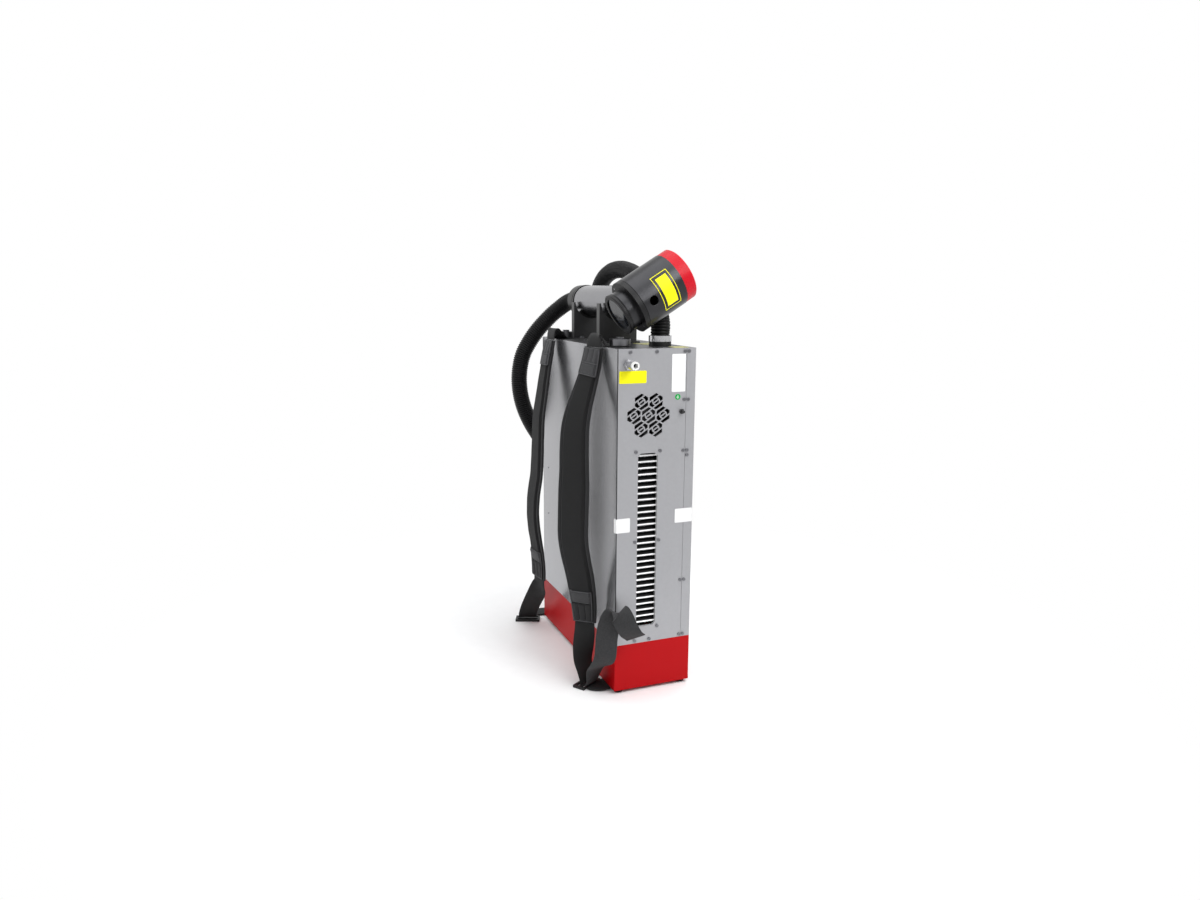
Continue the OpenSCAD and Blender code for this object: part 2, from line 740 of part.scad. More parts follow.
module fan_frame() {
    color("black") translate([vent_x, -inner_d, vent_z]) rear_wall() {
        difference() {
            translate([-fan_w / 2, -fan_w / 2, 0]) cube([fan_w, fan_w, fan_t]);
            translate([0, 0, -cut]) cylinder(r = fan_bore_r, h = fan_t + 2 * cut);
        }
        translate([0, 0, fan_t - fan_plate_t]) {
            cylinder(r = fan_hub_r, h = fan_plate_t);
            for (a = [45:90:315]) rotate([0, 0, a]) translate([fan_hub_r / 2, -fan_strut_w / 2, 0])
                cube([fan_bore_r + fan_wall / 2 - fan_hub_r / 2, fan_strut_w, fan_plate_t]);
        }
        translate([0, 0, fan_t / 2]) cylinder(r = fan_spin_r, h = fan_t / 2 - fan_plate_t / 2);
    }
}

module fan_rotor() {
    deep = fan_t - fan_plate_t - 2 * fan_wall;
    color("dimgray") translate([vent_x, -inner_d, vent_z]) rear_wall()
        translate([0, 0, fan_wall]) difference() {
            union() {
                cylinder(r = fan_hub_r, h = deep);
                intersection() {
                    cylinder(r = fan_bore_r - fan_tip_gap, h = deep);
                    for (i = [0:fan_blades - 1]) rotate([0, 0, i * 360 / fan_blades])
                        translate([fan_hub_r - fan_wall, 0, deep / 2]) rotate([fan_blade_pitch, 0, 0])
                            translate([0, -fan_blade_w / 2, -fan_blade_t / 2])
                                cube([fan_bore_r, fan_blade_w, fan_blade_t]);
                }
            }
            translate([0, 0, fan_t / 2 - 2 * fan_wall + run_gap])
                cylinder(r = fan_spin_r + run_gap, h = fan_t);
        }
}

module heat_sink() {
    step = (sink_size.x - sink_fin_t) / (sink_fins - 1);
    color("lightgray") translate(sink_at) {
        translate([0, sink_size.y - sink_base_t, 0]) cube([sink_size.x, sink_base_t, sink_size.z]);
        for (i = [0:sink_fins - 1])
            translate([i * step, 0, 0])
                cube([sink_fin_t, sink_size.y - sink_base_t / 2, sink_size.z]);
        for (z = [0, sink_size.z - sink_base_t])
            translate([sink_size.x - cut, sink_size.y - sink_base_t, z])
                cube([inner_w - sink_at.x - sink_size.x + cut - sheet_t, sink_base_t, sink_base_t]);
        for (x = [sink_base_t, sink_size.x - 2 * sink_base_t])
            translate([x, sink_size.y - sink_base_t, sheet_t - sink_at.z])
                cube([sink_base_t, sink_base_t, sink_at.z - sheet_t + cut]);
    }
}

// inside

module laser_source() {
    color("slategray") translate(source_at) {
        cube(source_size);
        translate([fibre_x - source_at.x, -sink_base_t, fibre_z - source_at.z]) rotate([-90, 0, 0])
            cylinder(r = 2 * fibre_r, h = sink_base_t + cut);
    }
}

module power_supply() {
    margin = (1 - supply_top_share) / 2 * supply_size.x;
    color("silver") translate(supply_at) difference() {
        cube(supply_size);
        for (i = [0:supply_rows - 1])
            translate([margin, (i + 0.5) * supply_size.y / supply_rows, supply_size.z - supply_groove])
                cube([supply_size.x - 2 * margin, supply_groove, supply_groove + cut]);
    }
}

module control_board() {
    color("darkgreen") translate(board_at) {
        cube(board_size);
        for (x = [2 * board_post_r, board_size.x - 2 * board_post_r],
                y = [2 * board_post_r, board_size.y - 2 * board_post_r])
            translate([x, y, -board_up]) cylinder(r = board_post_r, h = board_up);
        for (sx = chip_x_shares, sy = chip_y_shares)
            translate([sx * board_size.x, sy * board_size.y, board_size.z]) cube(chip_size);
    }
}

module air_valve() {
    color("dimgray") translate(valve_at) {
        cube(valve_size);
        translate([valve_size.x / 2, valve_size.y / 2, -valve_coil_h])
            cylinder(r = valve_coil_r, h = valve_coil_h + cut);
    }
}

module air_line() {
    y_side = valve_at.y + valve_size.y / 2;
    x_up = gland_x - gland_bore_r + line_r + slip_gap;
    z_side = valve_at.z + valve_size.z / 2;
    color("royalblue") {
        translate([inlet_x, -half_d + inlet_shank_len, inlet_z]) rotate([-90, 0, 0])
            ring(line_r, line_r / 2, valve_at.y + half_d - inlet_shank_len);
        translate([valve_at.x + valve_size.x, y_side, z_side]) rotate([0, 90, 0])
            cylinder(r = line_r, h = x_up - valve_at.x - valve_size.x);
        translate([x_up, y_side, z_side]) sphere(r = line_r);
        translate([x_up, y_side, z_side]) rotate([-90, 0, 0]) cylinder(r = line_r, h = gland_y - y_side);
        translate([x_up, gland_y, z_side]) sphere(r = line_r);
        translate([x_up, gland_y, z_side]) cylinder(r = line_r, h = case_h + gland_base_h / 2 - z_side);
    }
}

module fibre_lead() {
    color("orange") {
        translate([fibre_x, source_at.y - sink_base_t, fibre_z]) rotate([90, 0, 0])
            cylinder(r = fibre_r, h = source_at.y - sink_base_t - gland_y);
        translate([fibre_x, gland_y, fibre_z]) sphere(r = fibre_r);
        translate([fibre_x, gland_y, fibre_z])
            cylinder(r = fibre_r, h = case_h + gland_base_h / 2 - fibre_z);
    }
}

// front fittings

module at_inlet() { translate([inlet_x, -half_d, inlet_z]) front_wall() children(); }

module air_inlet_body() {
    tall = inlet_hex_h + inlet_body_h;
    color("silver") at_inlet() difference() {
        union() {
            cylinder(r = inlet_hex / sqrt(3), h = inlet_hex_h, $fn = 6);
            cylinder(r = inlet_body_r, h = tall);
            translate([0, 0, -inlet_shank_len]) cylinder(r = inlet_shank_r, h = inlet_shank_len + cut);
        }
        translate([0, 0, tall - inlet_bore_deep])
            cylinder(r = air_tube_d / 2 + run_gap, h = inlet_bore_deep + cut);
        translate([0, 0, tall - inlet_sleeve_len])
            cylinder(r = inlet_sleeve_r + run_gap, h = inlet_sleeve_len + cut);
        translate([0, 0, -inlet_shank_len - cut])
            cylinder(r = air_tube_d / 4, h = inlet_shank_len + tall);
    }
}

module air_release_ring() {
    tall = inlet_hex_h + inlet_body_h;
    color("white") at_inlet() translate([0, 0, tall + inlet_ring_gap]) difference() {
        union() {
            cylinder(r = inlet_ring_r, h = inlet_ring_h);
            translate([0, 0, -inlet_sleeve_len + inlet_ring_gap])
                cylinder(r = inlet_sleeve_r, h = inlet_sleeve_len);
        }
        translate([0, 0, -inlet_sleeve_len])
            cylinder(r = air_tube_d / 2 + run_gap, h = inlet_sleeve_len + inlet_ring_h + cut);
    }
}

module earth_stud() {
    color("black") translate([earth_x, -half_d, earth_z]) front_wall() {
        cylinder(r = earth_hex / sqrt(3), h = earth_hex_h, $fn = 6);
        translate([0, 0, -2 * sheet_t - earth_hex_h]) {
            cylinder(r = earth_r, h = earth_len + 2 * sheet_t + earth_hex_h);
            cylinder(r = earth_hex / sqrt(3), h = earth_hex_h, $fn = 6);
        }
    }
}

// top fittings

module gland_base() {
    color("black") translate([gland_x, gland_y, case_h]) difference() {
        union() {
            cylinder(r = gland_d / 2 - gland_notch / 2, h = gland_base_h);
            translate([0, 0, -gland_shank_len]) cylinder(r = gland_shank_r, h = gland_shank_len + cut);
        }
        translate([0, 0, -gland_shank_len - cut])
            cylinder(r = gland_bore_r, h = gland_shank_len + gland_base_h + 2 * cut);
        translate([0, 0, gland_seat_z - case_h])
            cylinder(r = hose_d / 2 + seat_gap, h = case_h + gland_base_h - gland_seat_z + cut);
    }
}

module gland_nut() {
    color("lightgray") translate([gland_x, gland_y, case_h + gland_base_h]) difference() {
        cylinder(r = gland_d / 2, h = gland_ring_h);
        translate([0, 0, -cut]) cylinder(r = hose_d / 2 + seat_gap, h = gland_ring_h + 2 * cut);
        for (a = [0:30:330]) rotate([0, 0, a])
            translate([gland_d / 2 + gland_notch / 2, 0, -cut])
                cylinder(r = gland_notch, h = gland_ring_h / 2);
    }
}

// swept solids

function unit(v) = v / norm(v);
function square_to(v, t) = unit(v - (v * t) * t);
function spline_at(p, t) = 0.5 * (2 * p[1] + (p[2] - p[0]) * t
    + (2 * p[0] - 5 * p[1] + 4 * p[2] - p[3]) * t * t
    + (3 * p[1] - p[0] - 3 * p[2] + p[3]) * t * t * t);
function smooth(route, n) = let (last = len(route) - 1)
    concat([for (i = [0:last - 1], k = [0:n - 1])
        spline_at([i == 0 ? 2 * route[0] - route[1] : route[i - 1], route[i], route[i + 1],
            i == last - 1 ? 2 * route[last] - route[last - 1] : route[i + 2]], k / n)],
        [route[last]]);
function run_of(pts) = [for (s = 0, i = 1; i <= len(pts);
    s = i < len(pts) ? s + norm(pts[i] - pts[i - 1]) : s, i = i + 1) s];
function even(pts, n) = let (run = run_of(pts), total = run[len(run) - 1])
    [for (k = [0:n]) let (s = total * k / n)
        [for (axis = [0:2]) lookup(s, [for (i = [0:len(pts) - 1]) [run[i], pts[i][axis]]])]];
function headings(pts) = let (last = len(pts) - 1)
    [for (i = [0:last]) unit(pts[min(i + 1, last)] - pts[max(i - 1, 0)])];
function carried(t, first) = [for (n = square_to(first, t[0]), i = 1; i <= len(t);
    n = i < len(t) ? square_to(n, t[i]) : n, i = i + 1) n];
function circle_ring(c, t, n, r, sides) = let (b = cross(t, n))
    [for (k = [0:sides - 1]) c + r * cos(360 * k / sides) * n + r * sin(360 * k / sides) * b];
function side_faces(rows, n, wrap) = [for (i = [0:rows - (wrap ? 1 : 2)], k = [0:n - 1])
    let (a = i * n + k, b = i * n + (k + 1) % n, j = (i + 1) % rows,
        c = j * n + (k + 1) % n, d = j * n + k) each [[a, d, c], [a, c, b]]];
function flat(rings) = [for (r = rings) each r];

module loft(rings) {
    n = len(rings[0]);
    rows = len(rings);
    base = (rows - 1) * n;
    polyhedron(points = flat(rings), faces = concat(side_faces(rows, n, false),
        [for (k = [1:n - 2]) [0, k, k + 1]], [for (k = [1:n - 2]) [base, base + k + 1, base + k]]));
}

module tube_loft(outer, inner) {
    rings = concat(outer, [for (i = [len(inner) - 1:-1:0]) inner[i]]);
    polyhedron(points = flat(rings), faces = side_faces(len(rings), len(rings[0]), true));
}

module hose() {
    pts = smooth(hose_route, hose_smooth);
    outer_pts = even(pts, 2 * rib_count);
    outer_t = headings(outer_pts);
    outer_n = carried(outer_t, [1, 0, 0]);
    inner_pts = even(pts, hose_bore_rings);
    inner_t = headings(inner_pts);
    inner_n = carried(inner_t, [1, 0, 0]);
    color([0.08, 0.08, 0.08]) tube_loft(
        [for (i = [0:2 * rib_count]) circle_ring(outer_pts[i], outer_t[i], outer_n[i],
            hose_d / 2 - (i % 2) * hose_root_drop, hose_sides)],
        [for (i = [0:hose_bore_rings]) circle_ring(inner_pts[i], inner_t[i], inner_n[i],
            hose_bore_d / 2, hose_sides)]);
    run = run_of(pts);
    echo(hose_length = run[len(run) - 1]);
}

// a route of x, y, z, turn becomes points, headings and width directions
function spots(route) = [for (p = route) [p[0], p[1], p[2]]];
function width_of(turn, t) = square_to([cos(turn), -sin(turn), 0], t);

module strip(route, w, th, n = 4) {
    dense = smooth(route, n);
    pts = spots(dense);
    t = headings(pts);
    loft([for (i = [0:len(pts) - 1]) let (x = width_of(dense[i][3], t[i]), y = cross(t[i], x))
        [for (c = [[1, -1], [1, 1], [-1, 1], [-1, -1]]) pts[i] + c[0] * w / 2 * x + c[1] * th / 2 * y]]);
}

function soft(v, share) = sign(v) * pow(abs(v), share);

module pad(route, shares) {
    n = 2;
    dense = smooth(route, n);
    wide = smooth([for (s = shares) [s, 0, 0]], n);
    pts = spots(dense);
    t = headings(pts);
    last = len(pts) - 1;
    loft([for (i = [0:last]) let (x = width_of(dense[i][3], t[i]), y = cross(t[i], x),
        end = min(i, last - i), thick = pad_t * (end == 0 ? 0.5 : end == 1 ? 0.8 : 1))
        [for (k = [0:pad_sides - 1]) let (a = 360 * (k + 0.5) / pad_sides)
            pts[i] + soft(cos(a), pad_round_share) * wide[i][0] * pad_w / 2 * x
                + soft(sin(a), pad_round_share) * thick / 2 * y]]);
}

module strap_pad_front() {
    color([0.14, 0.14, 0.15]) pad(down_pad(front_pad_shares, knob_front_y), front_pad_width_shares);
}

module strap_pad_rear() {
    color([0.14, 0.14, 0.15]) pad(down_pad(rear_pad_shares, knob_rear_y), rear_pad_width_shares);
}

module bolt_gap(y) { rod(bolt_r + seat_gap, 3 * web_t, [knob_x, y, case_h - web_t]); }

module webbing_front() {
    color([0.1, 0.1, 0.1]) {
        difference() {
            strip(over_top(front_top_shares, knob_front_y), web_w, web_t);
            bolt_gap(knob_front_y);
        }
        strip(below_pad(front_low_shares, knob_front_y), web_w, web_t);
        strip(on_floor(front_floor_shares), web_w, web_t, 2);
    }
}

module webbing_rear() {
    color([0.1, 0.1, 0.1]) {
        difference() {
            strip(over_top(rear_top_shares, knob_rear_y), web_w, web_t);
            bolt_gap(knob_rear_y);
        }
        strip(below_pad(rear_low_shares, knob_rear_y), web_w, web_t);
        strip(on_floor(rear_floor_shares), web_w, web_t, 2);
    }
}

module webbing_tail() { color([0.25, 0.25, 0.26]) strip(up_face(tail_shares), web_w, web_t); }

module slider(shares, turn) {
    at = [half_w * shares.x, half_d * shares.y, floor_z];
    color("black") translate(at) rotate([0, 0, turn]) difference() {
        translate([-slider_len / 2, -slider_w / 2, 0]) cube([slider_len, slider_w, slider_t]);
        for (s = [-1, 1])
            translate([-slider_len / 2 + slider_end, s * (slider_bar + slider_slot) / 2, -cut])
                translate([0, -slider_slot / 2, 0])
                    cube([slider_len - 2 * slider_end, slider_slot, slider_t + 2 * cut]);
    }
}

module strap_sliders() {
    slider(slider_front_shares, slider_front_turn);
    slider(slider_rear_shares, slider_rear_turn);
}

module strap_knob(y) {
    z = case_h + 2 * web_lift + web_t + seat_gap;
    color("dimgray") translate([knob_x, y, z]) difference() {
        union() {
            cylinder(r = knob_d / 2, h = knob_h);
            cylinder(r = knob_stud_r, h = knob_h + knob_stud_h);
        }
        translate([0, 0, -cut]) cylinder(r = bolt_r + run_gap, h = bolt_up + cut);
    }
}

module strap_knob_front() { strap_knob(knob_front_y); }

module strap_knob_rear() { strap_knob(knob_rear_y); }

module strap_bolts() {
    color("silver") for (y = [knob_front_y, knob_rear_y]) translate([knob_x, y, 0]) {
        rod(bolt_r, bolt_up + sheet_t + bolt_head_h, [0, 0, case_h - sheet_t - bolt_head_h]);
        rod(bolt_head_r, bolt_head_h, [0, 0, case_h - sheet_t - bolt_head_h]);
    }
}

// cradle

function cradle_plate_y1() = saddle_rear_y + saddle_t + plate_over;
function cradle_screw_places() = [
    for (x = [saddle_x0 + cradle_screw_in, saddle_x0 + saddle_w - cradle_screw_in],
        y = [saddle_front_y + saddle_t + cradle_screw_in, saddle_rear_y - cradle_screw_in]) [x, y]];

module cradle_base() {
    color([0.1, 0.1, 0.1]) difference() {
        block([saddle_x0, plate_y0, case_h], [saddle_x0 + saddle_w, cradle_plate_y1(), case_h + plate_t]);
        for (p = cradle_screw_places())
            rod(cradle_screw_r + slip_gap, plate_t + 2 * cut, [p.x, p.y, case_h - cut]);
    }
}

module saddle(y0) {
    color([0.1, 0.1, 0.1]) difference() {
        block([saddle_x0, y0, case_h + plate_t], [saddle_x0 + saddle_w, y0 + saddle_t, saddle_z]);
        translate([handle_x, y0 - cut, handle_z]) rotate([-90, 0, 0])
            cylinder(r = notch_r, h = saddle_t + 2 * cut);
    }
}

module cradle_front() { saddle(saddle_front_y); }

module cradle_rear() { saddle(saddle_rear_y); }

module cradle_liners() {
    a = liner_arc / 2;
    color("black") for (y = [saddle_front_y, saddle_rear_y])
        translate([handle_x, y, handle_z]) rotate([-90, 0, 0]) intersection() {
            ring(notch_r, notch_r - liner_t, saddle_t);
            linear_extrude(saddle_t) polygon([[0, 0], [2 * notch_r * sin(a), 2 * notch_r * cos(a)],
                [-2 * notch_r * sin(a), 2 * notch_r * cos(a)]]);
        }
}

module cradle_screws() {
    color("silver") for (p = cradle_screw_places()) translate([p.x, p.y, case_h + plate_t]) {
        rod(cradle_screw_head_r, cradle_screw_head_h);
        rod(cradle_screw_r, cradle_screw_len + cut, [0, 0, -cradle_screw_len]);
    }
}

// gun head, in a frame with its origin on the head axis and +z towards the end cap

module in_head() { translate(head_at) rotate([0, 90 - head_lift, 0]) children(); }

module head_envelope(grow) {
    in_head() {
        translate([0, 0, head_start]) cylinder(r = head_d / 2 + grow, h = head_len);
        translate([0, 0, flange_start]) cylinder(r = head_d / 2 + grow, h = flange_t + grow);
        translate([0, 0, barrel_start]) cylinder(r = barrel_d / 2 + grow, h = -barrel_start);
    }
}

module head_body() {
    bore = head_d / 2 - head_wall;
    color([0.16, 0.16, 0.17]) in_head() difference() {
        union() {
            translate([0, 0, head_start]) cylinder(r = head_d / 2, h = head_len);
            translate([0, 0, flange_start]) cylinder(r = barrel_d / 2, h = -flange_start);
        }
        translate([0, 0, head_start + head_wall]) cylinder(r = bore, h = head_len);
        translate([0, 0, flange_start - cut]) cylinder(r = barrel_bore_r, h = -flange_start + 2 * cut);
        rotate([0, 0, port_turn]) translate([bore - head_wall, 0, port_at]) rotate([0, 90, 0]) {
            cylinder(r = port_r, h = 3 * head_wall);
            translate([0, 0, 2 * head_wall - port_chamfer])
                cylinder(r1 = port_r, r2 = port_r + head_wall, h = head_wall);
        }
        translate([0, 0, beam_t]) rotate([-90, 0, 0]) cylinder(r = beam_hole_r, h = head_d);
    }
}

module head_flange() {
    inner = barrel_d / 2 + run_gap;
    color([0.09, 0.09, 0.09]) in_head() translate([0, 0, flange_start]) difference() {
        ring(head_d / 2, inner, flange_t);
        for (i = [0:flange_screws - 1]) rotate([0, 0, (i + 0.5) * 360 / flange_screws])
            translate([(head_d / 2 + inner) / 2, 0, -cut])
                cylinder(r = flange_screw_r, h = 2 * flange_screw_r + cut);
    }
}

module lens_barrel() {
    tall = flange_start - barrel_start;
    color([0.16, 0.16, 0.17]) in_head() translate([0, 0, barrel_start]) difference() {
        cylinder(r = barrel_d / 2, h = tall);
        translate([0, 0, -cut]) cylinder(r = barrel_bore_r - glass_t, h = tall + 2 * cut);
        translate([0, 0, lens_at - barrel_start]) cylinder(r = barrel_bore_r, h = tall);
    }
}

module lens_ring() {
    tall = barrel_start - ring_start;
    color([0.1, 0.1, 0.1]) in_head() translate([0, 0, ring_start]) rotate_extrude()
        polygon([[ring_lip_r - glass_t, 0], [ring_r - glass_t, 0], [ring_r, glass_t / 2],
            [ring_r, ring_lip_t + glass_t / 2], [ring_r - glass_t, ring_lip_t + glass_t],
            [ring_r - glass_t, ring_lip_t + 2 * glass_t], [ring_r - glass_t / 2, tall],
            [ring_lip_r + glass_gap, tall], [ring_lip_r + glass_gap, ring_lip_t],
            [ring_lip_r - glass_t, ring_lip_t]]);
}

module protective_glass() {
    color([0.3, 0.4, 0.5]) in_head() translate([0, 0, ring_start + ring_lip_t])
        cylinder(r = ring_lip_r, h = glass_t);
}

module focus_lens() {
    color([0.4, 0.5, 0.6]) in_head() translate([0, 0, lens_at])
        cylinder(r = barrel_bore_r - run_gap, h = lens_t);
}

module end_cap() {
    r = head_d / 2 * cap_r_share;
    hook_r = head_d / 2 - head_wall - run_gap;
    color([0.8, 0.06, 0.18]) in_head() translate([0, 0, head_start + head_len]) rotate_extrude()
        polygon([[0, cap_len - cap_face_t], [hook_r - cap_skirt_t, cap_len - cap_face_t],
            [hook_r - cap_skirt_t, -cap_hook_len], [hook_r, -cap_hook_len], [hook_r, 0], [r, 0],
            [r, cap_len - cap_bevel], [r - cap_bevel, cap_len], [r - 3 * cap_bevel, cap_len],
            [r - 4 * cap_bevel, cap_len - cap_bevel / 2], [0, cap_len - cap_bevel / 2]]);
}

// the galvo motor stands square to the head axis, on the side away from the port
module at_galvo() { in_head() translate([0, 0, beam_t]) rotate([0, -90, 0]) children(); }

module galvo_motor() {
    bore = head_d / 2 - head_wall;
    color("dimgray") difference() {
        union() {
            at_galvo() translate([0, 0, galvo_start]) cylinder(r = galvo_r, h = galvo_len - cut);
            in_head() intersection() {
                translate([0, 0, head_start + head_wall]) cylinder(r = bore - run_gap, h = 2 * beam_t);
                translate([-bore, -galvo_block / 2, head_start + head_wall])
                    cube([bore - galvo_start - galvo_r / 2, galvo_block, beam_t + galvo_r]);
            }
        }
        at_galvo() cylinder(r = galvo_shaft_r + run_gap, h = galvo_start + galvo_len / 2);
    }
}

module scan_mirror() {
    color("gold") at_galvo() {
        cylinder(r = galvo_shaft_r, h = galvo_start + galvo_len / 2 - cut);
        rotate([0, 0, 45]) translate([-mirror_w / 2, -mirror_t / 2, -mirror_h / 2])
            cube([mirror_w, mirror_t, mirror_h]);
    }
}

module galvo_board() {
    z = beam_t + galvo_r + 3 * head_wall;
    color("darkgreen") in_head() {
        translate([0, 0, z]) cylinder(r = head_d / 2 - head_wall - seat_gap, h = board_t);
        for (a = [20, 140, 260]) rotate([0, 0, a]) translate([head_d / 4, -galvo_chip.y / 2, z + board_t])
            cube(galvo_chip);
    }
}

// gun handle, in a frame whose +z runs along the handle axis towards the hose

module in_handle() { translate([handle_x, 0, handle_z]) rotate([-90, 0, 0]) children(); }

module at_button() {
    rotate([0, 0, -head_lift]) translate([0, 0, button_y]) rotate([0, 90, 0]) children();
}

module handle_tube() {
    color([0.3, 0.3, 0.31]) in_handle() difference() {
        union() {
            translate([0, 0, handle_y0]) cylinder(r = handle_d / 2, h = handle_y1 - handle_y0);
            at_button() cylinder(r = bezel_r, h = handle_d / 2 + bezel_h);
        }
        translate([0, 0, handle_y0 - cut])
            cylinder(r = handle_d / 2 - handle_wall, h = handle_y1 - handle_y0 + 2 * cut);
        at_button() cylinder(r = button_r + run_gap, h = handle_d);
    }
}

module handle_neck() {
    color([0.12, 0.12, 0.12]) difference() {
        in_handle() difference() {
            union() {
                translate([0, 0, neck_end_y]) cylinder(r = neck_r, h = handle_y0 - neck_end_y);
                translate([0, 0, handle_y0 - neck_step]) cylinder(r = handle_d / 2, h = neck_step);
                translate([0, 0, handle_y0 - cut])
                    cylinder(r = handle_d / 2 - handle_wall - run_gap, h = neck_step + cut);
            }
            translate([0, 0, neck_end_y - cut])
                cylinder(r = neck_bore_r, h = handle_y0 + 2 * neck_step - neck_end_y);
        }
        head_envelope(run_gap);
    }
}

module tail_rings() {
    r = handle_d / 2 + tail_step;
    half = tail_len / 2;
    bore = handle_d / 2 - 2 * handle_wall;
    color([0.1, 0.1, 0.1]) in_handle() translate([0, 0, handle_y1]) rotate_extrude()
        polygon([[bore, 0], [r - tail_groove, 0], [r - tail_groove, tail_groove],
            [r, tail_groove], [r, half - tail_step], [r - tail_groove / 2, half], [r, half + tail_step],
            [r, tail_len - tail_groove], [r - tail_groove, tail_len - tail_groove],
            [r - tail_groove, tail_len], [bore, tail_len]]);
}

module hose_collar() {
    r = handle_d / 2 + tail_step / 2;
    color([0.1, 0.1, 0.1]) in_handle() translate([0, 0, handle_y1 + tail_len])
        rotate_extrude() difference() {
        union() {
            square([r, collar_len - collar_round]);
            square([r - collar_round, collar_len]);
            translate([r - collar_round, collar_len - collar_round]) circle(r = collar_round);
        }
        translate([-r, -cut]) square([r + hose_bore_d / 2, collar_len + 2 * cut]);
        translate([-r, -collar_len]) square([3 * r, collar_len]);
    }
}

module collimator() {
    color("silver") in_handle() {
        rotate([0, 0, -head_lift]) translate([0, -collimator_off, collimator_y])
            cylinder(r = collimator_r, h = collimator_len);
        translate([0, 0, collimator_y + collimator_len / 2 - collimator_disc_t / 2])
            cylinder(r = handle_d / 2 - handle_wall - run_gap, h = collimator_disc_t);
    }
}

module fire_button() {
    color("firebrick") in_handle() at_button()
        translate([0, 0, handle_d / 2 + button_proud - button_h]) {
            cylinder(r = button_r, h = button_h - cut);
            cylinder(r1 = button_r, r2 = button_r - cut, h = button_h);
        }
}

// rear fittings

module on_rear(z) { translate([0, half_d, z]) rear_wall() children(); }

module mains_inlet() {
    color([0.1, 0.1, 0.1]) translate([0, half_d, mains_z]) {
        difference() {
            union() {
                block([-mains_flange.x / 2, 0, -mains_flange.z / 2],
                    [mains_flange.x / 2, mains_flange.y, mains_flange.z / 2]);
                block([-mains_w / 2, -mains_deep, -mains_h / 2], [mains_w / 2, cut, mains_h / 2]);
            }
            block([-mains_w / 2 + mains_wall, -mains_deep + mains_wall, -mains_h / 2 + mains_wall],
                [mains_w / 2 - mains_wall, mains_flange.y + cut, mains_h / 2 - mains_wall]);
        }
        for (i = [-1, 0, 1])
            translate([i * mains_w / 4 - mains_pin.x / 2, -mains_deep + mains_wall - cut,
                    (i == 0 ? 1 : -1) * mains_pin.x - mains_pin.z / 2])
                cube([mains_pin.x, mains_deep - mains_pin.y / 2, mains_pin.z]);
    }
}

// +x looks out of the rear panel, +y is up
module at_rocker() {
    translate([0, half_d + rocker_rim - rocker_drop, rocker_z]) rotate([90, 0, 90]) children();
}

module switch_bodies() {
    color([0.12, 0.12, 0.12]) {
        on_rear(estop_z) difference() {
            union() {
                cylinder(r = estop_ring_r, h = estop_ring_h);
                translate([0, 0, -switch_deep]) cylinder(r = estop_shank_r, h = switch_deep + cut);
            }
            translate([0, 0, -switch_deep + rocker_rim])
                cylinder(r = estop_stem_r + run_gap, h = 2 * switch_deep);
        }
        on_rear(key_z) difference() {
            union() {
                cylinder(r = key_ring_r, h = key_ring_h);
                translate([0, 0, -switch_deep]) cylinder(r = key_shank_r, h = switch_deep + cut);
            }
            translate([0, 0, -switch_deep + rocker_rim])
                cylinder(r = key_core_r + run_gap, h = 2 * switch_deep);
        }
        difference() {
            translate([0, half_d, rocker_z]) union() {
                block([-rocker_w / 2 - rocker_rim, 0, -rocker_h / 2 - rocker_rim],
                    [rocker_w / 2 + rocker_rim, rocker_rim, rocker_h / 2 + rocker_rim]);
                block([-rocker_w / 2, -rocker_deep, -rocker_h / 2], [rocker_w / 2, cut, rocker_h / 2]);
            }
            translate([0, half_d, rocker_z])
                block([-rocker_w / 2 + rocker_rim, -rocker_deep + rocker_rim, -rocker_h / 2 + rocker_rim],
                    [rocker_w / 2 - rocker_rim, rocker_rim + cut, rocker_h / 2 - rocker_rim]);
            at_rocker() translate([0, 0, -rocker_w / 2 + rocker_rim / 2])
                cylinder(r = rocker_pin_r + run_gap, h = rocker_w - rocker_rim);
        }
    }
}

module power_switch() {
    long = rocker_w - 2 * rocker_rim - 2 * slip_gap;
    half = rocker_h / 2 - rocker_rim - rocker_side_gap;
    color([0.08, 0.08, 0.08]) at_rocker() rotate([0, 0, -rocker_tilt]) {
        translate([0, 0, -long / 2]) linear_extrude(long)
            polygon([[-rocker_low, -half], [rocker_high, -half], [rocker_high - rocker_dip, 0],
                [rocker_high, half], [-rocker_low, half]]);
        translate([0, 0, -rocker_w / 2 + rocker_rim / 2 + slip_gap])
            cylinder(r = rocker_pin_r, h = rocker_w - rocker_rim - 2 * slip_gap);
    }
}

module key_switch() {
    color("silver") on_rear(key_z) {
        translate([0, 0, -key_core_len])
            cylinder(r = key_core_r, h = key_core_len + key_ring_h + slip_gap);
        translate([-key_grip.y / 2, -key_grip.x / 2, key_ring_h])
            cube([key_grip.y, key_grip.x, key_grip.z]);
    }
}

module emergency_stop() {
    color("red") on_rear(estop_z) {
        translate([0, 0, -estop_stem_len])
            cylinder(r = estop_stem_r, h = estop_stem_len + estop_ring_h + estop_travel + 2 * cut);
        translate([0, 0, estop_ring_h + estop_travel + cut]) cylinder(r = estop_head_r, h = estop_head_h);
    }
}

